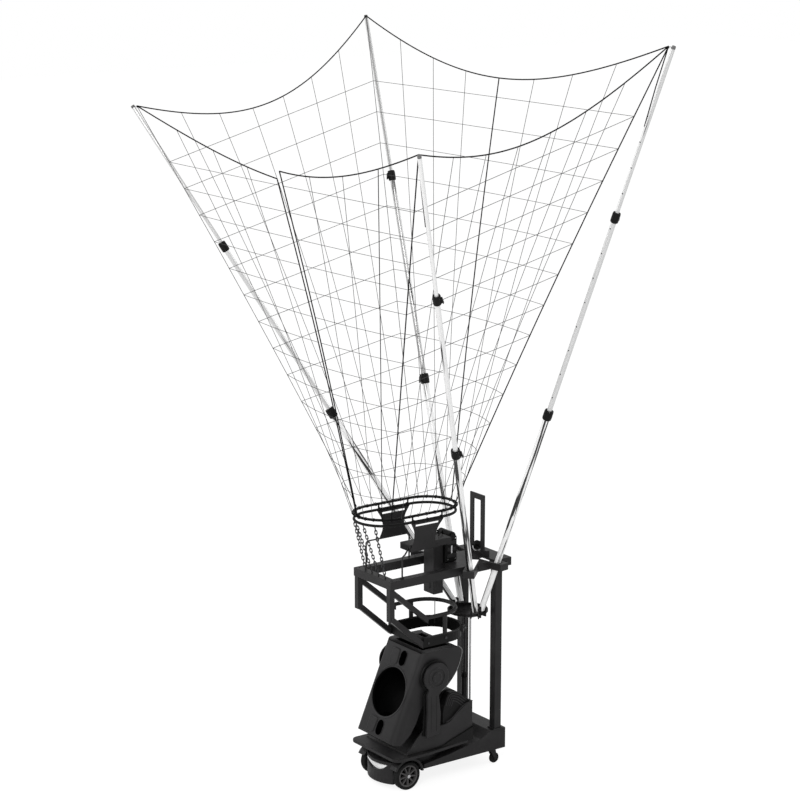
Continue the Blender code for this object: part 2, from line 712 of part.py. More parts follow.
HEAD_OUTLINE = [
    (-0.058, 0.285), (0.007, 0.338), (0.050, 0.400), (0.080, 0.470), (0.108, 0.514), (0.150, 0.540),
    (0.215, 0.555), (0.274, 0.588), (0.333, 0.650), (0.364, 0.705), (0.383, 0.763), (0.382, 0.795),
    (0.360, 0.816), (0.104, 0.820), (-0.122, 0.298),
]


def face_frame():
    """The head's leaning face: a point up along it, and the direction out of it."""
    along = (Vector(HEAD_OUTLINE[13]) - Vector(HEAD_OUTLINE[14])).normalized()
    up = Vector((0, along.x, along.y))
    out = Vector((0, -along.y, along.x))
    return up, out


def make_head(turn):
    tilt = pivot_at("head_tilt_axis", (0, TILT_Y, TILT_Z), turn)
    up, out = face_frame()
    muzzle = Vector((0, MUZZLE_Y, MUZZLE_Z))
    inner_outline = inset(HEAD_OUTLINE, HEAD_WALL)
    half = HEAD_HALF_WIDTH
    back = -out * HEAD_SPLIT_DEPTH
    split_foot = Vector((0, *HEAD_OUTLINE[14])) + back
    for part, front in (("head_front_shell", True), ("head_rear_shell", False)):
        shell = plate(part, HEAD_OUTLINE, -half, half)
        cut(shell, plate(f"{part}_hollow", inner_outline, -half + HEAD_WALL, half - HEAD_WALL))
        low, high = split_foot - up * 0.4, split_foot + up * 1.2
        away = -out if front else out
        low, high = low - away * GAP / 2, high - away * GAP / 2
        keep = [low, high, high + away * 0.8, low + away * 0.8]
        outline = [(corner.y, corner.z) for corner in keep]
        cut(shell, plate(f"{part}_half", outline if front else outline[::-1], -0.3, 0.3))
        if front:
            cut(shell, rod("muzzle", muzzle + back * 0.8, muzzle + out * 0.1, MUZZLE_RADIUS, 48))
        else:
            cut(shell, box(
                "ball_inlet", (-INLET_HALF_WIDTH, INLET_FRONT_Y, TILT_Z + 0.05),
                (INLET_HALF_WIDTH, INLET_REAR_Y, 1.0),
            ))
            bearing = rod("trunnion_bore", (-0.3, TILT_Y, TILT_Z), (0.3, TILT_Y, TILT_Z), TRUNNION_RADIUS + GAP, 24)
            cut(shell, bearing)
        finish(shell, HOUSING_PLASTIC, tilt)
    shaft = half - HEAD_WALL - GAP
    for name, sign in (("upper", 1), ("lower", -1)):
        centre = muzzle + up * sign * FLYWHEEL_OFFSET - out * FLYWHEEL_DEPTH
        spin = pivot_at(f"flywheel_{name}_axis", centre, tilt)
        edge = FLYWHEEL_WIDTH / 2
        wheel = turned(f"flywheel_{name}", [
            (0, shaft), (FLYWHEEL_SHAFT_RADIUS, shaft), (FLYWHEEL_SHAFT_RADIUS, edge), (FLYWHEEL_RADIUS - 0.003, edge),
            (FLYWHEEL_RADIUS, edge - 0.006), (FLYWHEEL_RADIUS, -edge + 0.006), (FLYWHEEL_RADIUS - 0.003, -edge),
            (FLYWHEEL_SHAFT_RADIUS, -edge), (FLYWHEEL_SHAFT_RADIUS, -shaft), (0, -shaft),
        ], 28, centre, "X")
        finish(wheel, WHEEL_RUBBER, spin)


def make_hopper():
    outline = [(-HOPPER_HALF_WIDTH, HOPPER_FRONT_Y), (HOPPER_HALF_WIDTH, HOPPER_FRONT_Y)]
    outline += arc((0, HOPPER_ARC_Y), HOPPER_HALF_WIDTH, 0, 180, 20)
    hopper = level_plate("hopper", outline, HOPPER_BOTTOM, HOPPER_TOP)
    hole = level_plate("hopper_hole", inset(outline, HOPPER_WALL), HOPPER_BOTTOM - 0.1, HOPPER_TOP + 0.1)
    finish(cut(hopper, hole), BLACK_STEEL)


def slanted_bar(name, start, end, x, width):
    """A square bar in the plane X = x, between two (y, z) points."""
    start, end = Vector(start), Vector(end)
    along = (end - start).normalized()
    side = Vector((-along.y, along.x)) * width / 2
    outline = [start - side, end - side, end + side, start + side]
    return plate(name, [tuple(corner) for corner in outline], x - width / 2, x + width / 2)


def make_chute():
    frame_bottom = FRAME_TOP - FRAME_TUBE
    half = CHUTE_TUBE / 2
    for name, x in (("left", -CHUTE_X), ("right", CHUTE_X)):
        leg = box(
            f"chute_side_{name}", (x - half, CHUTE_LEG_Y - half, CHUTE_LEG_BOTTOM),
            (x + half, CHUTE_LEG_Y + half, frame_bottom - GAP),
        )
        lower = slanted_bar(f"chute_lower_{name}", (CHUTE_LEG_Y, CHUTE_LEG_BOTTOM + half), (0.200, 0.790), x, CHUTE_TUBE - 0.002)
        upper = slanted_bar(f"chute_upper_{name}", (CHUTE_LEG_Y + 0.002, 1.228), (0.230, 0.941), x, CHUTE_TUBE - 0.004)
        join(leg, lower, upper)
        cut(leg, box(
            f"hopper_room_{name}", (x - 0.1, HOPPER_FRONT_Y - GAP, 0.500), (x + 0.1, 0.600, HOPPER_TOP + GAP),
        ))
        cut(leg, box(
            f"hoop_room_{name}", (x - 0.1, HOOP_FRONT_Y - GAP, HOPPER_TOP - 0.05), (x + 0.1, 0.600, 1.200),
        ))
        finish(leg, FRAME_STEEL)
    line = [(CHUTE_X, HOOP_FRONT_Y)] + arc((0, HOOP_ARC_Y), CHUTE_X, 0, 180, 18) + [(-CHUTE_X, HOOP_FRONT_Y)]
    hoop = tube("chute_hoop", [(x, y, HOOP_Z) for x, y in line], HOOP_TUBE_RADIUS)
    for sign in (-1, 1):
        x = sign * HOOP_POST_X
        join(hoop, rod(f"hoop_post_{sign}", (x, HOOP_POST_Y, HOPPER_TOP + GAP), (x, HOOP_POST_Y, HOOP_Z), 0.0135, 16))
    finish(hoop, FRAME_STEEL)


def make_upper_frame():
    low, high = FRAME_TOP - FRAME_TUBE, FRAME_TOP
    inner = FRAME_HALF_WIDTH - FRAME_TUBE
    frame = box("upper_frame", (-FRAME_HALF_WIDTH, FRAME_FRONT_Y, low), (FRAME_HALF_WIDTH, GUIDE_FRONT_Y - GAP, high))
    cut(frame, box("frame_opening", (-inner, FRAME_FRONT_Y + FRAME_TUBE, low - 0.1), (inner, GUIDE_FRONT_Y + 0.1, high + 0.1)))
    finish(frame, FRAME_STEEL)
    for name, sign in (("left", -1), ("right", 1)):
        x = sign * (FRAME_HALF_WIDTH - FRAME_TUBE / 2)
        half = FRAME_TUBE / 2
        post = box(f"post_{name}", (x - half, POST_Y - half, CHASSIS_BLOCK_TOP + GAP), (x + half, POST_Y + half, low - GAP))
        bore = half - POST_WALL
        cut(post, box(f"post_bore_{name}", (x - bore, POST_Y - bore, 0), (x + bore, POST_Y + bore, high)))
        finish(post, FRAME_STEEL)
    column = box(
        "feed_column", (-COLUMN_HALF_WIDTH, COLUMN_FRONT_Y, COLUMN_BOTTOM),
        (COLUMN_HALF_WIDTH, GUIDE_FRONT_Y - GAP, COLUMN_TOP - GAP), 0.003,
    )
    cut(column, box("column_slot", (0.010, COLUMN_FRONT_Y - 0.01, COLUMN_BOTTOM + 0.03), (0.018, COLUMN_FRONT_Y + 0.012, 1.200)))
    finish(column, HOUSING_PLASTIC)
    beam = box(
        "panel_beam", (BEAM_X[0], BEAM_FRONT_Y, COLUMN_TOP), (BEAM_X[1], GUIDE_FRONT_Y - GAP, COLUMN_TOP + BEAM_HEIGHT), 0.003,
    )
    finish(beam, HOUSING_PLASTIC)
    drive = box(
        "drive_box", (-DRIVE_HALF_WIDTH, GUIDE_FRONT_Y, FRAME_TOP + GAP),
        (DRIVE_HALF_WIDTH, GUIDE_FRONT_Y + DRIVE_DEPTH, DRIVE_TOP), 0.006,
    )
    finish(drive, COVER_PLASTIC)


def pole_places():
    """Each pole's name, pin, tip and distance to its upper clamp."""
    places = []
    for end, pin_y, tip_y, tip_z, clamp in (
        ("front", FRONT_PIN_Y, -TIP_Y, FRONT_TIP_Z, CLAMP_AT_MIDDLE[0]),
        ("rear", REAR_PIN_Y, TIP_Y, REAR_TIP_Z, CLAMP_AT_MIDDLE[1]),
    ):
        for side, sign in (("left", -1), ("right", 1)):
            pin = Vector((sign * PIN_X, pin_y, PIN_Z))
            tip = Vector((sign * TIP_X, tip_y, tip_z))
            places.append((f"{end}_{side}", pin, tip, clamp))
    return places


def pole_frame(pin, tip):
    """Local axes of a pole: Z along it, X along its level hinge pin."""
    along = (tip - pin).normalized()
    hinge = Vector((0, 0, 1)).cross(along).normalized()
    across = along.cross(hinge)
    turn = Matrix((hinge, across, along)).transposed().to_4x4()
    return Matrix.Translation(pin) @ turn


def make_guide_plate():
    low, high = FRAME_TOP - FRAME_TUBE, FRAME_TOP
    inner = FRAME_HALF_WIDTH - FRAME_TUBE
    guide = box("guide_plate", (-FRAME_HALF_WIDTH, GUIDE_FRONT_Y, low), (FRAME_HALF_WIDTH, GUIDE_REAR_Y, high))
    cut(guide, box(
        "guide_hollow", (-inner, GUIDE_FRONT_Y + FRAME_TUBE, low - 0.1),
        (inner, GUIDE_REAR_Y - FRAME_TUBE, high - GUIDE_SHEET),
    ))
    half = POLE_RADIUS[0] + SLOT_CLEARANCE
    slots = []
    for name, pin, tip, _clamp in pole_places():
        lean = Vector((tip.x - pin.x, tip.y - pin.y, 0))
        reach = (high - pin.z) * lean.length / (tip.z - pin.z) + half * (tip - pin).length / (tip.z - pin.z)
        heading = math.atan2(lean.y, lean.x)
        bracket = box(
            f"bracket_{name}", (0.070, -BRACKET_HALF_WIDTH, BRACKET_BOTTOM),
            (reach + BRACKET_RIM, BRACKET_HALF_WIDTH, high),
        )
        slots.append(box(f"slot_{name}", (-half, -half, low - 0.1), (reach, half, high + 0.1)))
        for item in (bracket, slots[-1]):
            centre = item.location.copy()
            item.rotation_euler = (0, 0, heading)
            item.location = Matrix.Rotation(heading, 3, "Z") @ centre + Vector((pin.x, pin.y, 0))
        join(guide, bracket)
    cut(guide, *slots)
    finish(guide, FRAME_STEEL)
    bar_low = HANDLE_HALF_WIDTH - HANDLE_BAR
    front, rear = HANDLE_Y - HANDLE_THICKNESS / 2, HANDLE_Y + HANDLE_THICKNESS / 2
    handle = box("lift_handle", (-HANDLE_HALF_WIDTH, front, high + GAP), (HANDLE_HALF_WIDTH, rear, HANDLE_TOP))
    cut(handle, box("handle_gap", (-bar_low, front - 0.05, high - 0.1), (bar_low, rear + 0.05, HANDLE_TOP - HANDLE_BAR)))
    finish(handle, FRAME_STEEL)
    centre = (0, HANDLE_Y, PULLEY_Z)
    spin = pivot_at("pulley_axis", centre)
    edge, reach = PULLEY_WIDTH / 2, bar_low - GAP
    pulley = turned("rope_pulley", [
        (0, reach), (PULLEY_SHAFT_RADIUS, reach), (PULLEY_SHAFT_RADIUS, edge), (PULLEY_RADIUS, edge),
        (PULLEY_RADIUS, edge - 0.003), (PULLEY_RADIUS - 0.006, 0), (PULLEY_RADIUS, -edge + 0.003),
        (PULLEY_RADIUS, -edge), (PULLEY_SHAFT_RADIUS, -edge), (PULLEY_SHAFT_RADIUS, -reach), (0, -reach),
    ], 24, centre, "X")
    finish(pulley, COVER_PLASTIC, spin)


def make_hub():
    centre_y = (FRONT_PIN_Y + REAR_PIN_Y) / 2
    foot = HUB_RADIUS * 0.62
    bowl = [
        (0, HUB_BOTTOM), (foot, HUB_BOTTOM), (HUB_RADIUS, HUB_BOTTOM + 0.018), (HUB_RADIUS, HUB_RIM),
        (HUB_RADIUS - HUB_WALL, HUB_RIM), (HUB_RADIUS - HUB_WALL, HUB_BOTTOM + 0.020),
        (foot - 0.002, HUB_BOTTOM + 0.006), (0, HUB_BOTTOM + 0.006),
    ]
    hub = turned("pole_hub", bowl[::-1], 32, (0, centre_y, 0))
    gap_half = POLE_RADIUS[0] + 0.001
    for name, pin, tip, _clamp in pole_places():
        frame = pole_frame(pin, tip)
        hinge = frame.col[0].xyz
        heading = math.atan2(hinge.y, hinge.x)
        for sign in (-1, 1):
            middle = pin + hinge * sign * (gap_half + EAR_THICKNESS / 2)
            ear = box(
                f"ear_{name}_{sign}", (-EAR_THICKNESS / 2, -EAR_HALF_WIDTH, HUB_BOTTOM + 0.004 - PIN_Z),
                (EAR_THICKNESS / 2, EAR_HALF_WIDTH, EAR_HALF_WIDTH),
            )
            lift = ear.location.z
            ear.location = middle + Vector((0, 0, lift))
            ear.rotation_euler = (0, 0, heading)
            join(hub, ear)
        reach = hinge * (gap_half + EAR_THICKNESS + 0.003)
        join(hub, rod(f"pivot_pin_{name}", pin - reach, pin + reach, PIVOT_RADIUS, 12))
    finish(hub, BLACK_STEEL)
    foot_z = chassis_top_at(centre_y + STRUT_RADIUS) + GAP
    finish(turned("lift_strut", [
        (0, HUB_BOTTOM - GAP), (STRUT_ROD_RADIUS, HUB_BOTTOM - GAP), (STRUT_ROD_RADIUS, STRUT_TOP),
        (STRUT_RADIUS, STRUT_TOP), (STRUT_RADIUS, foot_z), (0, foot_z),
    ], 20, (STRUT_X, centre_y, 0)), BLACK_STEEL)
    foot_z = chassis_top_at(GUIDE_ROD_Y + GUIDE_ROD_RADIUS) + GAP
    start, end = (GUIDE_ROD_X, GUIDE_ROD_Y, foot_z), (GUIDE_ROD_X, GUIDE_ROD_Y, HUB_BOTTOM - GAP)
    finish(rod("guide_rod", start, end, GUIDE_ROD_RADIUS), BRIGHT_STEEL)


def chassis_top_at(y):
    """The height of the base's sloping top behind the turntable."""
    block_front = POST_Y - FRAME_TUBE / 2 - 0.030
    foot_y, foot_z = CHASSIS_SLOPE
    share = min(1.0, (y - foot_y) / (block_front - foot_y))
    return foot_z + (CHASSIS_BLOCK_TOP - foot_z) * share


def collar(end, radius, bore):
    """The profile of a clamp collar round the top end of a pole section."""
    outer = radius + CLAMP_THICKNESS
    return [(bore, end), (outer, end), (outer, end - CLAMP_LENGTH), (radius, end - CLAMP_LENGTH - 0.008)]


def make_poles():
    for name, pin, tip, upper_clamp in pole_places():
        pivot = pivot_at(f"pole_{name}_axis", pole_frame(pin, tip))
        length = (tip - pin).length
        lower_r, middle_r, upper_r = POLE_RADIUS
        lower_bore = middle_r + POLE_RUN_CLEARANCE
        middle_bore = upper_r + POLE_RUN_CLEARANCE
        lower = turned(f"pole_{name}_lower", [(0, POLE_HEEL), (lower_bore, POLE_HEEL)] + collar(
            CLAMP_AT_LOWER, lower_r, lower_bore) + [(lower_r, -POLE_HEEL), (0, -POLE_HEEL)], 16)
        lower.parent = pivot
        eye = rod(f"eye_{name}", (-0.05, 0, 0), (0.05, 0, 0), PIVOT_RADIUS + GAP, 12)
        eye.parent = pivot
        cut(lower, eye)
        start = CLAMP_AT_LOWER - SECTION_OVERLAP
        middle = turned(f"pole_{name}_middle", collar(upper_clamp, middle_r, middle_bore) + [
            (middle_r, start), (middle_bore, start)], 14)
        middle.parent = pivot
        upper = rod(f"pole_{name}_upper", (0, 0, upper_clamp - SECTION_OVERLAP), (0, 0, length), upper_r, 12)
        upper.parent = pivot
        for item, finish_material in ((lower, POLE_ALUMINIUM), (middle, POLE_ALUMINIUM), (upper, POLE_ALUMINIUM)):
            finish(item, finish_material)


def ring_arc_y(x):
    """The ring's front arc at a given X."""
    return RING_FRONT_Y + RING_HALF_WIDTH - math.sqrt(RING_HALF_WIDTH ** 2 - x ** 2)


def make_ring():
    line = stadium(RING_HALF_WIDTH, RING_FRONT_Y, RING_REAR_Y, 14)
    ring = tube("ball_ring", [(x, y, RING_Z) for x, y in line], RING_TUBE_RADIUS, True)
    lower_z = RING_Z - RING_PITCH
    join(ring, tube("ball_ring_lower", [(x, y, lower_z) for x, y in line], RING_TUBE_RADIUS, True))
    for x, y in ((-RING_HALF_WIDTH, 0.04), (RING_HALF_WIDTH, 0.04), (-RING_HALF_WIDTH, 0.25), (RING_HALF_WIDTH, 0.25)):
        join(ring, rod(f"ring_link_{x}_{y}", (x, y, lower_z), (x, y, RING_Z), 0.005, 8))
    finish(ring, FRAME_STEEL)
    panel_top = lower_z - RING_TUBE_RADIUS - GAP
    rail_top = PANEL_RAIL_Z + PANEL_RAIL_RADIUS
    make_panel("panel_left", -RING_HALF_WIDTH - PANEL_THICKNESS / 2, rail_top - 0.006, panel_top)
    make_panel("panel_right", BEAM_X[1] + GAP, COLUMN_TOP, panel_top, RING_HALF_WIDTH - BEAM_X[1] - PANEL_THICKNESS)
    first, last = PANEL_RAIL_Y
    x = -RING_HALF_WIDTH
    foot = FRAME_TOP + GAP
    bend = 0.010
    route = [(x, first, foot), (x, first, PANEL_RAIL_Z - bend), (x, first + bend, PANEL_RAIL_Z)]
    route += [(x, last - bend, PANEL_RAIL_Z), (x, last, PANEL_RAIL_Z - bend), (x, last, foot)]
    rail = tube("panel_rail", route, PANEL_RAIL_RADIUS)
    finish(rail, FRAME_STEEL)
    bottom = FRAME_TOP + GAP + CHAIN_RADIUS * 0.3
    for index, x in enumerate(CHAIN_X):
        top = Vector((x, ring_arc_y(x), lower_z - RING_TUBE_RADIUS - GAP))
        foot = Vector((x * 0.94, FRAME_FRONT_Y + FRAME_TUBE / 2, bottom))
        finish(rod(f"chain_{index + 1}", foot, top + (foot - top).normalized() * 0.003, CHAIN_RADIUS, 8), FRAME_STEEL)


def make_panel(name, low_x, low_z, high_z, lean=0.0):
    """An hourglass panel between the ring and what carries it; its head may lean outwards."""
    height = high_z - low_z
    front = [(PANEL_FOOT_Y[0], low_z), (PANEL_WAIST_Y[0], low_z + height * 0.45), (PANEL_TOP_Y[0], high_z)]
    rear = [(PANEL_FOOT_Y[1], low_z), (PANEL_WAIST_Y[1], low_z + height * 0.45), (PANEL_TOP_Y[1], high_z)]
    panel = plate(name, front[::-1] + rear, low_x, low_x + PANEL_THICKNESS)
    foot_z = low_z + BEAM_HEIGHT + 0.004
    if lean:
        for point in panel.data.vertices:
            point.co.z += lean * max(0.0, (point.co.y - foot_z) / (high_z - foot_z))
    else:
        rail = box(f"{name}_rail_room", (-0.3, -0.2, PANEL_RAIL_Z - 0.05), (0, 0.5, PANEL_RAIL_Z + PANEL_RAIL_RADIUS + GAP))
        cut(panel, rail)
    finish(panel, HOUSING_PLASTIC)


def rim_points(start, end, sag, cells):
    """Points along a sagging top rope, without the last."""
    points = []
    for step in range(cells):
        share = step / cells
        point = start.lerp(end, share)
        point.z -= 4 * sag * share * (1 - share)
        points.append(point)
    return points


def ring_points(offset):
    """The loop round the ring that the net hangs down to, matched to the net's columns."""
    radius = RING_HALF_WIDTH + offset
    front, rear = RING_FRONT_Y + RING_HALF_WIDTH, RING_REAR_Y - RING_HALF_WIDTH
    turn = 20
    points = arc((0, front), radius, 180 + turn, 360 - turn, NET_FRONT_CELLS)[:-1]
    corner = arc((0, front), radius, 360 - turn, 360, 1)
    far = arc((0, rear), radius, turn, 180 - turn, NET_BACK_CELLS)
    right = [corner[0]] + [(radius, front + (rear - front) * s / (NET_SIDE_CELLS - 2)) for s in range(NET_SIDE_CELLS - 1)]
    points += right + far
    points += [(-x, y) for x, y in reversed(right[1:])]
    return points


def make_net():
    tips = {}
    for name, _pin, tip, _clamp in pole_places():
        inward = Vector((-tip.x, -tip.y, 0)).normalized() * NET_CORNER_INSET
        tips[name] = tip + inward
    top = rim_points(tips["front_left"], tips["front_right"], NET_FRONT_SAG, NET_FRONT_CELLS)
    top += rim_points(tips["front_right"], tips["rear_right"], NET_SIDE_SAG, NET_SIDE_CELLS)
    top += rim_points(tips["rear_right"], tips["rear_left"], NET_BACK_SAG, NET_BACK_CELLS)
    top += rim_points(tips["rear_left"], tips["front_left"], NET_SIDE_SAG, NET_SIDE_CELLS)
    bottom = ring_points(RING_TUBE_RADIUS + NET_RING_CLEARANCE)
    shape = bmesh.new()
    rows = []
    for row in range(NET_ROWS + 1):
        share = row / NET_ROWS
        rows.append([
            shape.verts.new(high.lerp(Vector((*low, RING_Z)), share)) for high, low in zip(top, bottom)
        ])
    for upper, lower in zip(rows, rows[1:]):
        for index in range(len(upper)):
            after = (index + 1) % len(upper)
            shape.faces.new((upper[index], lower[index], lower[after], upper[after]))
    mesh = bpy.data.meshes.new("net")
    shape.to_mesh(mesh)
    shape.free()
    net = wrap("net", mesh)
    strands = net.modifiers.new("cords", "WIREFRAME")
    strands.thickness = NET_CORD
    strands.use_even_offset = False
    strands.use_boundary = True
    strands.use_replace = True
    finish(net, NET_NYLON)


def make_switch():
    half_x, half_z = SWITCH_HALF
    centre = (SWITCH_X, CHASSIS_REAR_Y - 0.005, SWITCH_Z)
    pivot = pivot_at("power_switch_axis", centre)
    back = CHASSIS_REAR_Y - SWITCH_DEPTH + 0.0030
    face = [
        (back + 0.003, SWITCH_Z - half_z), (CHASSIS_REAR_Y + 0.004, SWITCH_Z - half_z),
        (CHASSIS_REAR_Y + 0.001, SWITCH_Z), (CHASSIS_REAR_Y + 0.004, SWITCH_Z + half_z),
        (back + 0.003, SWITCH_Z + half_z), (back - 0.0027, SWITCH_Z),
    ]
    rocker = plate("power_switch", face, SWITCH_X - half_x, SWITCH_X + half_x)
    finish(rocker, COVER_PLASTIC, pivot)


make_chassis()
make_front_skirt()
make_front_wheels()
make_casters()
turntable = make_turntable()
make_arms(turntable)
make_head(turntable)
make_hopper()
make_chute()
make_upper_frame()
make_guide_plate()
make_hub()
make_poles()
make_ring()
make_net()
make_switch()
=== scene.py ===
"""The look of the basketball shooting machine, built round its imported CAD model.

Metres, +Z up. The machine shoots towards -Y, and the photograph sees it from +X and -Y.
"""
import math

import bmesh
import bpy
from mathutils import Matrix, Vector


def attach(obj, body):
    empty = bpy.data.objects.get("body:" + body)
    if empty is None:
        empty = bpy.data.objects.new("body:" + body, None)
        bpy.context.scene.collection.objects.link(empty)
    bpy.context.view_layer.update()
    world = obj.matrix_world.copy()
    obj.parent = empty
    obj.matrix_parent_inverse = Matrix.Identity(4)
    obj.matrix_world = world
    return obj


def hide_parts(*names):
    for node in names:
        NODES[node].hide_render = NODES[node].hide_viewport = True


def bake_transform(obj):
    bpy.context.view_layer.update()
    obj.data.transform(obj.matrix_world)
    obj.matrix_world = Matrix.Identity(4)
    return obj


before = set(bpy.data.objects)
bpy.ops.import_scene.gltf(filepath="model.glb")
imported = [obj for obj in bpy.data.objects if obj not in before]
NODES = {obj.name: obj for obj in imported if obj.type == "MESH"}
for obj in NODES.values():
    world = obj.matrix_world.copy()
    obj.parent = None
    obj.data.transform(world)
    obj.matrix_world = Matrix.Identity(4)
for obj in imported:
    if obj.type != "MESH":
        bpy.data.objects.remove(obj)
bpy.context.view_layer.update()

# The camera that took the photograph
CAMERA_PLACE = (11.07715, -7.93625, 5.45256)
CAMERA_AZIMUTH = 0.94480975
CAMERA_PITCH = 0.22642581
CAMERA_LENS = 110.0957

SIDES = (("left", -1), ("right", 1))
ACROSS, ALONG, UP = Vector((1, 0, 0)), Vector((0, 1, 0)), Vector((0, 0, 1))

# A record slot and the body that many pieces share
ON_HEAD = ("housing_plastic", "shooter_head")
ON_TABLE = ("housing_plastic", "turntable")
COVER_ON_TABLE = ("cover_plastic", "turntable")

# Places and sizes that pieces here share with the frame
TILT_Y, TILT_Z = 0.172, 0.672
HOUSING_SIDE = 0.2033
HUB_Y = 0.571
RING_Z = 1.655
RING_LOW_Z = RING_Z - 0.035
RING_HALF_WIDTH = 0.168
RING_TUBE_RADIUS = 0.008
# Where the ring's straight sides end, at the middles of its two half circles
RING_FRONT_TURN = -0.217 + RING_HALF_WIDTH
RING_REAR_TURN = 0.435 - RING_HALF_WIDTH
MUZZLE = Vector((0, -0.009, 0.557))
MUZZLE_RADIUS = 0.148
# Each net pole: its pin, its tip, and how far along it the upper clamp sits
POLES = {
    "front_left": (Vector((-0.105, 0.545, 0.985)), Vector((-1.412, -0.832, 3.923)), 2.55),
    "front_right": (Vector((0.105, 0.545, 0.985)), Vector((1.412, -0.832, 3.923)), 2.55),
    "rear_left": (Vector((-0.105, 0.597, 0.985)), Vector((-1.412, 0.832, 4.375)), 2.65),
    "rear_right": (Vector((0.105, 0.597, 0.985)), Vector((1.412, 0.832, 4.375)), 2.65),
}
POLE_RADIUS = (0.0185, 0.0145, 0.011)
# Each pole's tone: one finish made lighter or darker pole by pole as painted light
POLE_LIT_TONES = {"front_left": 0.6, "front_right": 0.78, "rear_left": 0.42, "rear_right": 0.6}
CLAMP_AT_LOWER = 1.38
BUTTON_PITCH = 0.155


def link(item):
    bpy.context.scene.collection.objects.link(item)
    return item


def mesh_object(name, shape):
    """An object from a bmesh, which is freed."""
    mesh = bpy.data.meshes.new(name)
    bmesh.ops.recalc_face_normals(shape, faces=shape.faces)
    shape.to_mesh(mesh)
    shape.free()
    return link(bpy.data.objects.new(name, mesh))


def built(name, *parts):
    """An object from parts, each an add_ function followed by its values."""
    shape = bmesh.new()
    for add, *values in parts:
        add(shape, *values)
    return mesh_object(name, shape)


def add_box(shape, low, high, turn=None):
    """A box in a bmesh; turn is a 4x4 matrix that places it."""
    low, high = Vector(low), Vector(high)
    made = bmesh.ops.create_cube(shape, size=1.0)["verts"]
    bmesh.ops.scale(shape, vec=high - low, verts=made)
    bmesh.ops.translate(shape, vec=(low + high) / 2, verts=made)
    if turn is not None:
        bmesh.ops.transform(shape, matrix=turn, verts=made)


def add_rod(shape, start, end, radius, sides=16):
    start, end = Vector(start), Vector(end)
    place = Matrix.Translation((start + end) / 2) @ (end - start).to_track_quat("Z", "Y").to_matrix().to_4x4()
    bmesh.ops.create_cone(
        shape, cap_ends=True, segments=sides, radius1=radius, radius2=radius, depth=(end - start).length,
        matrix=place,
    )


def join_rings(shape, here, there):
    """Faces between two matching rings of vertices."""
    for index in range(len(here)):
        after = (index + 1) % len(here)
        shape.faces.new((here[index], here[after], there[after], there[index]))


def add_loft(shape, low, high, place=Matrix()):
    """A solid between two matching outlines of points, with flat ends."""
    low, high = ([shape.verts.new(place @ Vector(point)) for point in outline] for outline in (low, high))
    shape.faces.new(low[::-1])
    shape.faces.new(high)
    join_rings(shape, low, high)


def add_prism(shape, outline, low_x, high_x):
    """An outline of (y, z) points made thick along X."""
    add_loft(shape, [(low_x, y, z) for y, z in outline], [(high_x, y, z) for y, z in outline])


def add_lathe(shape, profile, place, sides=32):
    """A closed ring profile of (radius, height) points swept round the local Z of place."""
    rings = []
    for step in range(sides):
        angle = math.tau * step / sides
        rings.append([
            shape.verts.new(place @ Vector((radius * math.cos(angle), radius * math.sin(angle), height)))
            for radius, height in profile
        ])
    for here, there in zip(rings, rings[1:] + rings[:1]):
        join_rings(shape, here, there)


def add_tube(shape, points, radius, sides=6, closed=False):
    """A round tube along points, with flat caps when it is open."""
    count = len(points)
    rings = []
    side = None
    for index, point in enumerate(points):
        before = points[index - 1] if index or closed else point
        after = points[(index + 1) % count] if index < count - 1 or closed else point
        along = (Vector(after) - Vector(before)).normalized()
        if side is None:
            side = along.orthogonal().normalized()
        side = (side - along * side.dot(along)).normalized()
        other = along.cross(side)
        turns = [math.tau * step / sides for step in range(sides)]
        spokes = [(side * math.cos(turn) + other * math.sin(turn)) * radius for turn in turns]
        rings.append([shape.verts.new(Vector(point) + spoke) for spoke in spokes])
    for here, there in zip(rings, rings[1:] + (rings[:1] if closed else [])):
        join_rings(shape, here, there)
    if not closed:
        shape.faces.new(rings[0][::-1])
        shape.faces.new(rings[-1])


def bow(centre, across, up, radius, degrees):
    """Points on a circle round centre, in the plane of across and up, at the angles given."""
    turns = [math.radians(angle) for angle in degrees]
    return [centre + across * (radius * math.cos(turn)) + up * (radius * math.sin(turn)) for turn in turns]


def arc(centre, radius, start, end, steps):
    """Points on a circle, angles in degrees."""
    turns = [math.radians(start + (end - start) * step / steps) for step in range(steps + 1)]
    return [(centre[0] + radius * math.cos(turn), centre[1] + radius * math.sin(turn)) for turn in turns]


def inset(outline, distance):
    """The outline moved inwards, for a shape that runs anticlockwise."""
    moved = []
    for before, here, after in zip(outline[-1:] + outline[:-1], outline, outline[1:] + outline[:1]):
        before, here, after = Vector(before), Vector(here), Vector(after)
        first = (here - before).normalized()
        second = (after - here).normalized()
        normals = [Vector((-side.y, side.x)) for side in (first, second)]
        bisector = (normals[0] + normals[1]).normalized()
        moved.append(tuple(here + bisector * distance / max(bisector.dot(normals[0]), 0.3)))
    return moved


def rounded(outline, radii, steps=5):
    """The outline with chosen corners rounded: radii maps a corner's index to its radius."""
    result = []
    count = len(outline)
    for index, corner in enumerate(outline):
        radius = radii.get(index, 0) if isinstance(radii, dict) else radii
        if not radius:
            result.append(corner)
            continue
        here = Vector(corner)
        before = Vector(outline[index - 1]) - here
        after = Vector(outline[(index + 1) % count]) - here
        reach = min(radius, before.length * 0.48, after.length * 0.48)
        start, end = here + before.normalized() * reach, here + after.normalized() * reach
        for step in range(steps + 1):
            share = step / steps
            result.append(tuple(start.lerp(here, share).lerp(here.lerp(end, share), share)))
    return result


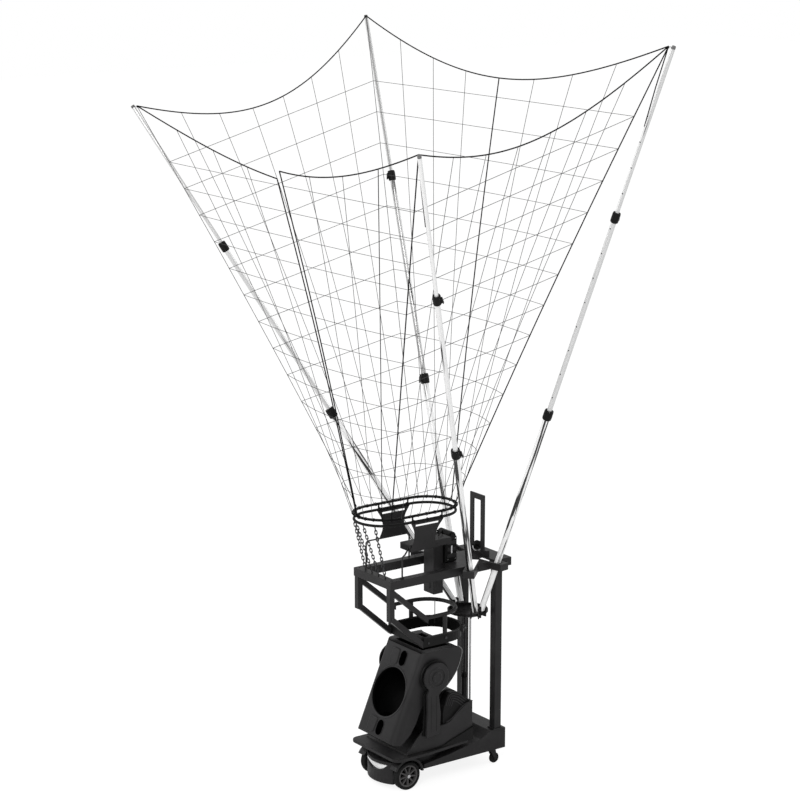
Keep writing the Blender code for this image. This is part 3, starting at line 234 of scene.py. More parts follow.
def smooth_line(points, steps=4):
    """A smooth open curve through points of any dimension."""
    points = [Vector(point) for point in points]
    padded = [points[0] * 2 - points[1]] + points + [points[-1] * 2 - points[-2]]
    line = []
    for a, b, c, d in zip(padded, padded[1:], padded[2:], padded[3:]):
        for step in range(steps):
            t = step / steps
            bend = (2 * a - 5 * b + 4 * c - d) * t * t + (3 * b - a - 3 * c + d) * t ** 3
            line.append(0.5 * (2 * b + (c - a) * t + bend))
    return line + [points[-1]]


def combined(item, operation, *others):
    """item after exact Booleans with the other objects, which are removed."""
    for other in others:
        change = item.modifiers.new("combined", "BOOLEAN")
        change.operation = operation
        change.solver = "EXACT"
        change.object = other
    graph = bpy.context.evaluated_depsgraph_get()
    mesh = bpy.data.meshes.new_from_object(item.evaluated_get(graph))
    item.modifiers.clear()
    item.data = mesh
    for other in others:
        bpy.data.objects.remove(other)
    return item


def bevel(item, width, segments, angle):
    edge = item.modifiers.new("rounded_edges", "BEVEL")
    edge.width = width
    edge.segments = segments
    edge.limit_method = "ANGLE"
    edge.angle_limit = math.radians(angle)
    return edge


def soften(item, width, segments=3, angle=35):
    """Rounded edges and smooth shading."""
    bevel(item, width, segments, angle).harden_normals = True
    for face in item.data.polygons:
        face.use_smooth = True
    item.data.set_sharp_from_angle(angle=math.radians(50))
    return item


def smooth(item, angle=40):
    item.data.shade_smooth()
    item.data.set_sharp_from_angle(angle=math.radians(angle))
    return item


def paint(item, finish):
    item.data.materials.clear()
    item.data.materials.append(finish)


def dress(item, finish, slot, body="base"):
    """Gives a piece its material and, unless it is None, the body it rides on; slot is not used."""
    paint(item, finish)
    if body:
        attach(item, body)
    return item


class Recipe:
    """A node tree, with short calls for the nodes it uses. An input's value may be a socket to link."""

    def __init__(self, owner):
        owner.use_nodes = True
        self.owner = owner
        self.nodes = owner.node_tree.nodes
        self.links = owner.node_tree.links

    def feed(self, node, **inputs):
        """Sets or links a node's inputs, named with _ for each space."""
        for key, value in inputs.items():
            socket = node.inputs[key.replace("_", " ")]
            if isinstance(value, bpy.types.NodeSocket):
                self.links.new(value, socket)
            else:
                socket.default_value = value
        return node

    def add(self, kind, **inputs):
        return self.feed(self.nodes.new(kind), **inputs)

    def place(self, turn=(0, 0, 0)):
        where = self.add("ShaderNodeTexCoord").outputs["Object"]
        return self.add("ShaderNodeMapping", Vector=where, Rotation=turn).outputs["Vector"]

    def noise(self, where, scale, detail=3.0, roughness=0.55):
        made = self.add("ShaderNodeTexNoise", Vector=where, Scale=scale, Detail=detail, Roughness=roughness)
        return made.outputs["Fac"]

    def ramp(self, source, stops):
        made = self.add("ShaderNodeValToRGB", Fac=source)
        elements = made.color_ramp.elements
        while len(elements) < len(stops):
            elements.new(0.5)
        for element, (position, colour) in zip(elements, stops):
            element.position = position
            element.color = (*colour, 1)
        return made.outputs["Color"]

    def range(self, source, low, high):
        return self.add("ShaderNodeMapRange", Value=source, To_Min=low, To_Max=high).outputs["Result"]

    def bump(self, height, distance, strength, **previous):
        made = self.add("ShaderNodeBump", Height=height, Distance=distance, Strength=strength, **previous)
        return made.outputs["Normal"]

    def surface(self, **inputs):
        """Sets or links the shader's inputs, and returns the material."""
        self.feed(self.nodes["Principled BSDF"], **inputs)
        return self.owner


def shade(colour, factor):
    return tuple(min(1.0, channel * factor) for channel in colour)


def coating(name, colour, roughness, metallic, grain, grain_depth, spread, specular=0.17):
    """A painted, moulded or cast finish: mottled colour, uneven gloss and a fine grain."""
    made = Recipe(bpy.data.materials.new(name))
    where = made.place()
    broad = made.noise(where, 9, 4)
    fine = made.noise(where, grain, 2)
    return made.surface(
        Base_Color=made.ramp(broad, [(0.3, shade(colour, 1 - spread)), (0.7, shade(colour, 1 + spread))]),
        Roughness=made.range(made.noise(where, 24, 5), roughness - 0.07, roughness + 0.09),
        Normal=made.bump(fine, grain_depth, 0.35, Normal=made.bump(made.noise(where, 60, 2), 0.0006, 0.1)),
        Metallic=metallic, Specular_IOR_Level=specular,
    )


def tube_with_painted_reflections(name, along, threshold, tone, metallic):
    """Bright drawn tube with dark streaks that run along it, where the noise passes the threshold: the streaks are
    painted reflections.
    """
    made = Recipe(bpy.data.materials.new(name))
    where = made.place(along.rotation_difference(UP).to_euler())
    stretched = made.add("ShaderNodeMapping", Vector=where, Scale=(62, 62, 2.6)).outputs["Vector"]
    stops = ((0.0, tone * 1.04), (threshold, tone * 0.96), (threshold + 0.03, 0.012), (1.0, 0.006))
    return made.surface(
        Base_Color=made.ramp(made.noise(stretched, 1.0, 2, 0.45), [(place, (grey,) * 3) for place, grey in stops]),
        Roughness=made.range(made.noise(where, 40, 4), 0.16, 0.3),
        Normal=made.bump(made.noise(where, 300, 2), 0.0002, 0.2),
        Metallic=metallic, Specular_IOR_Level=0.5,
    )


def cord_fibre(name, colour, twist, roughness=0.8, specular=0.25):
    """Twisted cord: fine diagonal strands."""
    made = Recipe(bpy.data.materials.new(name))
    wave = made.add("ShaderNodeTexWave", Vector=made.place(), Scale=twist, Distortion=1.5)
    wave.bands_direction = "DIAGONAL"
    strands = wave.outputs["Fac"]
    return made.surface(
        Base_Color=made.ramp(strands, [(0.0, shade(colour, 0.6)), (1.0, shade(colour, 1.3))]),
        Normal=made.bump(strands, 0.0006, 0.5), Roughness=roughness, Specular_IOR_Level=specular,
    )


# Each coating: colour, roughness, metallic, the grain's scale and depth, the colour's spread, specular level
POWDER = coating("powder_coat", (0.0125, 0.012, 0.0125), 0.42, 0.0, 1100, 0.0005, 0.22)
FRAME_POWDER = coating("frame_powder_coat", (0.015, 0.0145, 0.015), 0.4, 0.0, 1100, 0.0005, 0.22)
MOULDED = coating("moulded_charcoal", (0.015, 0.0145, 0.015), 0.44, 0.0, 1500, 0.0003, 0.14)
BLACK_PLASTIC = coating("black_plastic", (0.003,) * 3, 0.5, 0.0, 1500, 0.0003, 0.3, 0.14)
# Near-black for the insides of the head, the muzzle's bore, the hopper and the wheels behind their spokes: painted
# shade
HOLLOW_SHADE = coating("painted_hollow_shade", (0.0012,) * 3, 0.75, 0.0, 800, 0.0003, 0.3, 0.06)
# Near-black with no gloss for the slots on the head's face: painted shade of a recess
SLOT_SHADE = coating("painted_slot_shade", (0.0004,) * 3, 0.9, 0.0, 800, 0.0003, 0.3, 0.0)
TYRE = coating("tyre_rubber", (0.0055,) * 3, 0.72, 0.0, 500, 0.0008, 0.3, 0.14)
RIM_GREY = coating("rim_grey", (0.046, 0.044, 0.044), 0.42, 0.0, 1200, 0.0003, 0.2, 0.3)
WHITE = coating("white_plastic_finish", (0.82,) * 3, 0.32, 0.0, 1300, 0.0002, 0.03, 0.5)
ROD_STEEL = coating("ground_steel", (0.5, 0.5, 0.51), 0.24, 0.95, 700, 0.0002, 0.12, 0.5)
DARK_STEEL = coating("dark_steel", (0.03, 0.03, 0.032), 0.36, 0.5, 900, 0.0003, 0.3, 0.4)
# Black rubber, made darker and duller than the tyres as painted shade inside the head
FLYWHEEL_RUBBER_AND_SHADE = coating("flywheel_rubber_and_shade", (0.0006,) * 3, 0.9, 0.0, 600, 0.0006, 0.3, 0.0)
NET_CORD = cord_fibre("net_cord", (0.045, 0.045, 0.046), 420)
ROPE = cord_fibre("border_rope", (0.003, 0.003, 0.0034), 240, 0.85, 0.08)
TIP_GREY = coating("tip_grey", (0.12,) * 3, 0.45, 0.0, 1200, 0.0002, 0.1, 0.3)
# A pale grey for tubes along the head's edges: a painted highlight
EDGE_HIGHLIGHT = coating("painted_edge_highlight", (0.16,) * 3, 0.35, 0.0, 1200, 0.0002, 0.1, 0.4)


def make_camera():
    scene = bpy.context.scene
    scene.view_settings.view_transform = "Standard"
    data = bpy.data.cameras.new("camera")
    data.lens = CAMERA_LENS
    data.sensor_width = 36
    data.clip_end = 100
    scene.camera = link(bpy.data.objects.new("camera", data))
    scene.camera.location = CAMERA_PLACE
    scene.camera.rotation_euler = (math.pi / 2 - CAMERA_PITCH, 0, CAMERA_AZIMUTH)


def make_studio():
    """A white world that lights less than it shows, three lamps, and a floor that shows white but takes shade."""
    bpy.context.scene.world = bpy.data.worlds.new("studio")
    world = Recipe(bpy.context.scene.world)
    path = world.add("ShaderNodeLightPath")
    seen = world.add("ShaderNodeMath")
    seen.operation = "MAXIMUM"
    world.links.new(path.outputs["Is Camera Ray"], seen.inputs[0])
    world.links.new(path.outputs["Is Transmission Ray"], seen.inputs[1])
    strength = world.range(seen.outputs[0], 0.72, 1.0)
    world.feed(world.nodes["Background"], Color=(1, 1, 1, 1), Strength=strength)
    for name, place, size, power in (
        ("key", (6.5, -7.5, 7.5), 4.0, 520), ("fill", (-6.0, -5.0, 5.0), 5.0, 160), ("back", (3.0, 7.5, 6.0), 4.0, 160),
    ):
        light = bpy.data.lights.new(name, "AREA")
        light.size = size
        light.energy = power
        lamp = link(bpy.data.objects.new(name, light))
        lamp.location = place
        lamp.rotation_euler = (Vector((0, 0.2, 1.2)) - Vector(place)).to_track_quat("-Z", "Y").to_euler()
    shape = bmesh.new()
    bmesh.ops.create_grid(shape, x_segments=1, y_segments=1, size=40)
    floor = mesh_object("floor", shape)
    floor.location.z = -0.0005
    pale = Recipe(bpy.data.materials.new("pale_floor"))
    pale.surface(Base_Color=(0.9, 0.9, 0.9, 1), Roughness=0.9, Specular_IOR_Level=0.1)
    glow = pale.add("ShaderNodeEmission", Strength=1.14)
    seen = pale.range(pale.add("ShaderNodeLightPath").outputs["Is Camera Ray"], 0.0, 0.75)
    mix = pale.add("ShaderNodeMixShader", Fac=seen)
    pale.links.new(pale.nodes["Principled BSDF"].outputs["BSDF"], mix.inputs[1])
    pale.links.new(glow.outputs["Emission"], mix.inputs[2])
    pale.feed(pale.nodes["Material Output"], Surface=mix.outputs["Shader"])
    floor.data.materials.append(pale.owner)


HEAD_OUTLINE = [
    (-0.058, 0.285), (0.007, 0.338), (0.05, 0.4), (0.08, 0.47), (0.108, 0.514), (0.15, 0.54),
    (0.215, 0.555), (0.274, 0.588), (0.333, 0.65), (0.364, 0.705), (0.383, 0.763), (0.382, 0.795),
    (0.36, 0.816), (0.104, 0.82), (-0.122, 0.298),
]
HEAD_CORNERS = {12: 0.02, 13: 0.03, 14: 0.022, 0: 0.018, 11: 0.015}
HEAD_HALF_WIDTH = 0.19
HEAD_WALL = 0.006
HEAD_EDGE_RADIUS = 0.046
HOLLOW_EDGE_RADIUS = 0.04
HEAD_REACH = 0.6


def face_frame():
    """A matrix whose X is the machine's X, Y points up the head's leaning face and Z out of it."""
    along = (Vector(HEAD_OUTLINE[13]) - Vector(HEAD_OUTLINE[14])).normalized()
    up = Vector((0, along.x, along.y))
    out = Vector((0, -along.y, along.x))
    turn = Matrix((ACROSS, up, out)).transposed().to_4x4()
    return Matrix.Translation(MUZZLE) @ turn


def face_out(outline):
    """How far an outline of (y, z) points stands out of the head's face."""
    back = face_frame().inverted()
    return max((back @ Vector((0, y, z))).z for y, z in outline)


HEAD_FACE_OUT = face_out(HEAD_OUTLINE)
COVER_X = -0.05
COVER_MIDDLE = 0.208
SLOT_X = 0.028
SLOT_MIDDLE = 0.213


def head_solid(name, outline, half_width, front_radius):
    """The head's side profile, with its front edges rounded along the lean."""
    item = built(name, (add_prism, outline, -half_width, half_width))
    face = max(0.0, face_out(outline))
    section = [(half_width, -HEAD_REACH), (half_width, face - front_radius)]
    section += arc((half_width - front_radius, face - front_radius), front_radius, 10, 90, 8)
    section += [(-x, out) for x, out in reversed(section)]
    low, high = ([(x, along, out) for x, out in section] for along in (-HEAD_REACH, HEAD_REACH))
    return combined(item, "INTERSECT", built(f"{name}_section", (add_loft, low, high, face_frame())))


def make_head():
    """The hollow shell with its inlet and muzzle, its inside and the muzzle's lining near-black as painted shade, the
    muzzle's lip, and pale tubes on its edges as a painted highlight.
    """
    shell = head_solid("head_shell", rounded(HEAD_OUTLINE, HEAD_CORNERS, 4), HEAD_HALF_WIDTH, HEAD_EDGE_RADIUS)
    inside = inset(HEAD_OUTLINE, HEAD_WALL)
    hollow = head_solid("head_hollow", inside, HEAD_HALF_WIDTH - HEAD_WALL, HOLLOW_EDGE_RADIUS)
    place = face_frame()
    bore = (place @ Vector((0, 0, -0.05)), place @ Vector((0, 0, 0.1)))
    hole = built("muzzle_hole", (add_rod, *bore, MUZZLE_RADIUS, 72))
    inlet = built("inlet_hole", (add_box, (-0.135, 0.135, 0.73), (0.135, 0.33, 0.95)))
    for item in (shell, hollow, hole, inlet):
        item.data.materials.append(MOULDED)
        item.data.materials.append(HOLLOW_SHADE)
    # The shell's inside faces take the near-black painted shade
    for face in hollow.data.polygons:
        face.material_index = 1
    smooth(combined(shell, "DIFFERENCE", hollow, hole, inlet), 32)
    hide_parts("head_front_shell", "head_rear_shell")
    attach(shell, "shooter_head")
    lip = built("muzzle_lip", (add_lathe, [
        (MUZZLE_RADIUS - 0.001, -0.001), (MUZZLE_RADIUS + 0.004, 0.0022), (MUZZLE_RADIUS + 0.01, 0.0022),
        (MUZZLE_RADIUS + 0.013, -0.001),
    ], place @ Matrix.Translation((0, 0, HEAD_FACE_OUT)), 72))
    dress(smooth(lip), MOULDED, *ON_HEAD)
    # A near-black lining in the muzzle's bore: painted shade
    bore_shade = built("muzzle_bore_shade", (add_lathe, [
        (MUZZLE_RADIUS - 0.0015, HEAD_FACE_OUT - 0.001), (MUZZLE_RADIUS - 0.0015, -0.016),
        (MUZZLE_RADIUS + 0.001, -0.016), (MUZZLE_RADIUS + 0.001, HEAD_FACE_OUT - 0.004),
    ], place, 72))
    dress(smooth(bore_shade), HOLLOW_SHADE, *ON_HEAD)
    make_face(place)
    # Pale tubes along the head's curved edges: a painted highlight
    edge = smooth_line(HEAD_OUTLINE[4:13], 4)
    for name, sign in SIDES:
        line = [(sign * (HEAD_HALF_WIDTH - 0.001), y + 0.0015, z) for y, z in edge]
        dress(smooth(built(f"head_edge_highlight_{name}", (add_tube, line, 0.0022, 6))), EDGE_HIGHLIGHT, *ON_HEAD)


def make_face(place):
    """Above and below the muzzle: a low raised block and, beside it, a slot in its frame, a thin plate painted
    near-black as the shade of a recess.
    """
    for name, sign in (("upper", 1), ("lower", -1)):
        corners = ((-0.042, 0.16), (0.042, 0.16), (0.036, 0.262), (-0.036, 0.262))
        outline = rounded([(x, sign * y) for x, y in corners][::sign], 0.018, 5)
        low = [(COVER_X + x, y, HEAD_FACE_OUT - 0.004) for x, y in outline]
        middle = sign * COVER_MIDDLE
        high = [(COVER_X + x * 0.9, middle + (y - middle) * 0.86, HEAD_FACE_OUT + 0.006) for x, y in outline]
        cover = built(f"face_cover_{name}", (add_loft, low, high, place))
        dress(soften(cover, 0.004, 3, 25), MOULDED, *ON_HEAD)
        # The slot is a raised plate painted near-black: painted shade standing in for a recess
        for part, half_width, half_length, rise, finish in (
            ("slot_frame", 0.0315, 0.05, 0.0019, MOULDED), ("slot", 0.0275, 0.046, 0.0031, SLOT_SHADE),
        ):
            reach = half_length - half_width
            rim = arc((SLOT_X, sign * SLOT_MIDDLE + reach), half_width, 0, 180, 8)
            rim += arc((SLOT_X, sign * SLOT_MIDDLE - reach), half_width, 180, 360, 8)
            low, high = ([(x, y, HEAD_FACE_OUT + out) for x, y in rim] for out in (-0.0026, rise))
            dress(smooth(built(f"face_{part}_{name}", (add_loft, low, high, place))), finish, *ON_HEAD)


# A yoke arm's column from the side, and how far out from the middle its cover lies
ARM_FRONT = ((0.103, 0.575), (0.105, 0.47), (0.097, 0.312))
ARM_REAR = ((0.195, 0.324), (0.201, 0.446), (0.187, 0.56))
ARM_IN, ARM_OUT = 0.2125, 0.2333


def arm_outline(grow=0.0, foot=0.0):
    """A yoke arm from the side: a disc round the tilt axle on a column, with its foot raised."""
    front = [(y - grow, z) for y, z in ARM_FRONT]
    rear = [(y + grow * 0.2, z) for y, z in ARM_REAR]
    for line, lowest in ((front, 2), (rear, 0)):
        line[lowest] = (line[lowest][0], line[lowest][1] + foot)
    return arc((TILT_Y, TILT_Z), 0.088 + grow, -42, 232, 30) + front + rear


def make_arms():
    """Each arm's cover on a larger black plate whose fringe is painted shade between head and arm, with the ring, cap
    and bolts round the tilt axle, and two black strips painted as the shade in grooves.
    """
    # A black plate a little larger than the arm, behind it: its fringe is a painted shadow between the head and the arm
    shadow_fringe_outline = rounded(arm_outline(0.013, 0.006), {33: 0.01}, 4)
    for name, sign in SIDES:
        shadow_fringe = built(f"arm_shadow_fringe_{name}", (add_prism, shadow_fringe_outline, sign * HOUSING_SIDE, sign * ARM_IN))
        dress(soften(shadow_fringe, 0.0015, 2), BLACK_PLASTIC, *ON_TABLE)
        cover = built(f"arm_cover_{name}", (add_prism, arm_outline(), sign * ARM_IN, sign * ARM_OUT))
        dress(soften(cover, 0.0055, 4, 30), MOULDED, *ON_TABLE)
        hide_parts(f"yoke_arm_{name}")
        place = Matrix.Translation((sign * ARM_OUT, TILT_Y, TILT_Z)) @ Matrix.Rotation(sign * math.pi / 2, 4, "Y")
        ring = built(f"arm_hub_ring_{name}", (add_lathe, [
            (0.06, -0.004), (0.06, 0.0015), (0.0575, 0.004), (0.052, 0.004), (0.05, 0.001), (0.05, -0.004),
        ], place, 48))
        dress(smooth(ring), MOULDED, *ON_TABLE)
        cap = built(f"arm_hub_cap_{name}", (add_lathe, [
            (0.0005, -0.004), (0.034, -0.004), (0.034, 0.004), (0.031, 0.0065), (0.022, 0.0065), (0.02, 0.0045),
            (0.0005, 0.0045),
        ], place, 40))
        dress(smooth(cap), MOULDED, *ON_TABLE)
        feet = bow(UP * 0.006, ACROSS, ALONG, 0.027, range(0, 360, 60))
        bolts = [(add_rod, place @ foot, place @ (foot + UP * 0.0032), 0.0028, 6) for foot in feet]
        dress(built(f"arm_hub_bolts_{name}", *bolts), DARK_STEEL, "bright_steel", "turntable")
        grooves = []
        # Two black strips on the arm's cover: painted shade standing in for grooves
        for y in (0.128, 0.166):
            outline = [(y, 0.345), (y + 0.0025, 0.345), (y + 0.0035, 0.56), (y + 0.001, 0.56)]
            grooves.append((add_prism, outline, sign * 0.2326, sign * 0.2337))
        dress(built(f"arm_groove_shades_{name}", *grooves), BLACK_PLASTIC, *ON_TABLE)


COVER_HALF_WIDTH = 0.1927
COVER_OUTLINE = [
    (0.245, 0.24), (0.4157, 0.24), (0.4457, 0.275), (0.4457, 0.455), (0.42, 0.482), (0.395, 0.503),
    (0.37, 0.522), (0.343, 0.535), (0.318, 0.542), (0.297, 0.541), (0.28, 0.528), (0.268, 0.505),
    (0.255, 0.47), (0.245, 0.42),
]
FIN_COUNT, FIN_PITCH, FIN_HALF_WIDTH = 10, 0.03, 0.0085


def make_cover_fins():
    """Raised fins over the drum cover, between the cover's own grooves, and the ribs on its sides."""
    outer = smooth_line(inset(COVER_OUTLINE, -0.0035)[3:13], 3)
    inner = smooth_line(inset(COVER_OUTLINE, 0.0005)[3:13], 3)
    band = outer + inner[::-1]
    places = [(index - (FIN_COUNT - 1) / 2) * FIN_PITCH for index in range(FIN_COUNT)]
    fins = built("cover_fins", *((add_prism, band, x - FIN_HALF_WIDTH, x + FIN_HALF_WIDTH) for x in places))
    dress(soften(fins, 0.0012, 2, 60), MOULDED, *COVER_ON_TABLE)
    for name, sign in SIDES:
        ribs = []
        for distance in (0.01, 0.024, 0.038, 0.052):
            line = smooth_line(inset(COVER_OUTLINE, distance)[4:13], 3)
            ribs.append((add_tube, [(sign * COVER_HALF_WIDTH, y, z) for y, z in line], 0.0034, 8))
        dress(smooth(built(f"cover_side_ribs_{name}", *ribs)), MOULDED, *COVER_ON_TABLE)


# The upper edge of a black plate along the housing's foot that is painted shade
FOOT_SHADE_EDGE = ((0.452, 0.302), (0.36, 0.272), (0.278, 0.247), (0.237, 0.232), (0.17, 0.2262), (0.09, 0.2236))
CHEEK_EDGE = ((0.262, 0.368), (0.29, 0.378), (0.318, 0.395), (0.352, 0.423), (0.398, 0.452), (0.4555, 0.4625))


def make_foot_shade_and_cheek_line():
    """A black plate along the foot of the housing, painted shade under it, and the line along its cheek, on both sides.
    """
    foot_shade = [(0.456, 0.2236), (0.456, 0.306)] + smooth_line(FOOT_SHADE_EDGE, 4)
    edge = smooth_line(CHEEK_EDGE, 3)
    for name, sign in SIDES:
        item = built(f"foot_painted_shade_{name}", (add_prism, foot_shade, *sorted((sign * HOUSING_SIDE, sign * 0.212))))
        dress(soften(item, 0.0015, 2, 40), BLACK_PLASTIC, *COVER_ON_TABLE)
        item = built(f"housing_edge_{name}", (add_tube, [(sign * 0.2032, y, z) for y, z in edge], 0.003, 8))
        dress(smooth(item), MOULDED, *ON_TABLE)


WHEEL_RADIUS = 0.085
WHEEL_CENTRE_X = 0.1645
RIM_FACE = 0.0205
SPOKES = 9
# Half of the tyre's section, from its outer bead to the groove in the tread
TYRE_HALF = [
    (0.0665, 0.0195), (0.074, 0.0222), (0.08, 0.0215), (0.0838, 0.018), (0.085, 0.012), (0.085, 0.0035),
    (0.0838, 0.0025),
]


def make_wheels():
    """Each wheel's tyre, spoked rim, the web behind the spokes, near-black as painted shade, and the axle's cap."""
    for name, sign in SIDES:
        centre = (sign * WHEEL_CENTRE_X, 0, WHEEL_RADIUS)
        place = Matrix.Translation(centre) @ Matrix.Rotation(sign * math.pi / 2, 4, "Y")
        wheel = ("rim_plastic", f"wheel_{name}")
        section = [(radius, -height) for radius, height in TYRE_HALF] + TYRE_HALF[::-1]
        tyre = built(f"tyre_{name}", (add_lathe, section, place, 72))
        dress(smooth(tyre), TYRE, "rubber", f"wheel_{name}")
        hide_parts(f"wheel_{name}_tyre")
        parts = [
            (add_lathe, [
                (0.0662, -0.017), (0.0662, 0.019), (0.0635, 0.0205), (0.0575, 0.019), (0.056, 0.014),
                (0.056, -0.017),
            ], place, 64),
            (add_lathe, [
                (0.0104, -0.0205), (0.0104, 0.02), (0.015, 0.0215), (0.0185, 0.02), (0.02, 0.015),
                (0.02, -0.0205),
            ], place, 40),
        ]
        for step in range(SPOKES):
            turn = place @ Matrix.Rotation(math.tau * step / SPOKES, 4, "Z")
            parts.append((add_box, (0.017, -0.0042, -0.004), (0.0585, 0.0042, 0.0165), turn))
        rim = built(f"rim_{name}", *parts)
        dress(soften(rim, 0.0012, 2, 40), RIM_GREY, *wheel)
        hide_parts(f"wheel_{name}_rim")
        section = [(0.019, -0.004), (0.019, 0.001), (0.057, 0.001), (0.057, -0.004)]
        # A near-black web behind the spokes: painted shade in the wheel's hollow
        dress(smooth(built(f"rim_web_{name}", (add_lathe, section, place, 48))), HOLLOW_SHADE, *wheel)
        section = [
            (0.0004, RIM_FACE - 0.004), (0.0125, RIM_FACE - 0.004), (0.0125, RIM_FACE), (0.01, RIM_FACE + 0.0025),
            (0.0004, RIM_FACE + 0.003),
        ]
        dress(smooth(built(f"axle_cap_{name}", (add_lathe, section, place, 32))), BLACK_PLASTIC, *wheel)


HOPPER_HALF_WIDTH = 0.178
HOPPER_TOP = 0.91
HOPPER_OUTLINE = [(-HOPPER_HALF_WIDTH, 0.115), (HOPPER_HALF_WIDTH, 0.115)]
HOPPER_OUTLINE += arc((0, 0.3), HOPPER_HALF_WIDTH, 0, 180, 36)
# Each row of the funnel: how far inside the hopper's outline, and its height
HOPPER_FUNNEL = (
    (0.0065, 0.902), (0.018, 0.874), (0.04, 0.854), (0.044, 0.854), (0.021, 0.871), (0.009, 0.898),
)


def make_hopper():
    """The rolled rim, the funnel inside, near-black as painted shade, the side bolts, the rear lug and the thin stay up
    to the hoop.
    """
    line = [(x, y, HOPPER_TOP - 0.0015) for x, y in rounded(inset(HOPPER_OUTLINE, 0.003), {0: 0.02, 1: 0.02}, 4)]
    dress(smooth(built("hopper_rim", (add_tube, line, 0.0052, 8, True))), POWDER, "black_steel")
    shape = bmesh.new()
    rows = []
    for distance, height in HOPPER_FUNNEL:
        rows.append([shape.verts.new((x, y, height)) for x, y in inset(HOPPER_OUTLINE, distance)])
    for here, there in zip(rows, rows[1:] + rows[:1]):
        join_rings(shape, here, there)
    # The funnel is near-black: painted shade inside the hopper
    dress(smooth(mesh_object("hopper_funnel", shape)), HOLLOW_SHADE, "black_steel")
    bolts = []
    for sign in (-1, 1):
        low = sign * (HOPPER_HALF_WIDTH - 0.004)
        for y, height, reach, radius in ((0.276, 0.882, 0.0075, 0.0085), (0.15, 0.872, 0.0065, 0.006)):
            bolts.append((add_rod, (low, y, height), (low + sign * reach, y, height), radius, 16))
    bolts.append((add_rod, (0.122, 0.448, 0.897), (0.132, 0.458, 0.897), 0.006, 14))
    dress(smooth(built("hopper_bolts", *bolts)), DARK_STEEL, "bright_steel")
    turn = Matrix.Translation((0.112, 0.438, 0.893)) @ Matrix.Rotation(math.radians(45), 4, "Z")
    lug = built("hopper_lug", (add_box, (-0.004, -0.015, -0.021), (0.016, 0.015, 0.021), turn))
    dress(soften(lug, 0.0025, 2), POWDER, "black_steel")
    stay = built("hopper_stay", (add_rod, (-0.108, 0.407, 0.868), (-0.108, 0.407, 1.022), 0.0025, 10))
    dress(smooth(stay), FRAME_POWDER, "frame_steel")


# A side panel's front edge: its place along Y at shares of the panel's height. The rear edge mirrors it.
PANEL_EDGE = ((0.045, 0.0), (0.0655, 0.25), (0.07, 0.45), (0.06, 0.72), (0.03, 1.0))
PANEL_MIDDLE = 0.146
PANEL_TOP = 1.6115
# Above this height the right panel leans out
PANEL_BEND = 1.474


def ring_line(offset=0.0, height=RING_Z):
    """The ring's outline, two half circles and straight sides, moved out by an offset."""
    radius = RING_HALF_WIDTH + offset
    points = arc((0, RING_REAR_TURN), radius, 0, 180, 28) + arc((0, RING_FRONT_TURN), radius, 180, 360, 28)
    return [(x, y, height) for x, y in points]


def make_ring():
    """The catch ring's two tubes and posts, and the side panels that are tied to it."""
    parts = [(add_tube, ring_line(0.0, height), RING_TUBE_RADIUS, 14, True) for height in (RING_Z, RING_LOW_Z)]
    for y in (0.04, 0.25):
        for x in (-RING_HALF_WIDTH, RING_HALF_WIDTH):
            parts.append((add_rod, (x, y, RING_LOW_Z), (x, y, RING_Z), 0.005, 12))
    ring = built("catch_ring", *parts)
    dress(smooth(ring), BLACK_PLASTIC, "frame_steel")
    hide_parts("ball_ring")
    for name, x, foot, lean in (("left", -0.171, 1.443, 0.0), ("right", 0.133, 1.4303, 0.032)):
        height = PANEL_TOP - foot
        front = smooth_line([(y, foot + height * share) for y, share in PANEL_EDGE], 5)
        rear = [(2 * PANEL_MIDDLE - y, z) for y, z in front]
        panel = built(f"side_panel_{name}", (add_prism, rear + front[::-1], x, x + 0.006))
        for vertex in panel.data.vertices:
            vertex.co.x += lean * max(0.0, (vertex.co.z - PANEL_BEND) / (PANEL_TOP - PANEL_BEND))
        slot = (x - 0.02, 0.064, PANEL_TOP - 0.024), (x + 0.06, 0.228, PANEL_TOP - 0.012)
        combined(panel, "DIFFERENCE", built("panel_slot", (add_box, *slot)))
        dress(soften(panel, 0.001, 2, 50), MOULDED, "housing_plastic")
        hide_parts(f"panel_{name}")
        ties = []
        for y in (0.05, 0.146, 0.242):
            centre = Vector((x + 0.003 + lean, y, RING_LOW_Z))
            ties.append((add_tube, bow(centre, ACROSS, UP, 0.0105, range(-80, 261, 20)), 0.0022, 6))
        dress(smooth(built(f"panel_ties_{name}", *ties)), BLACK_PLASTIC, "frame_steel")


CHAIN_LINKS = 15
LINK_HALF_WIDTH = 0.0068
LINK_WIRE_RADIUS = 0.003
LINK_STEPS = 14


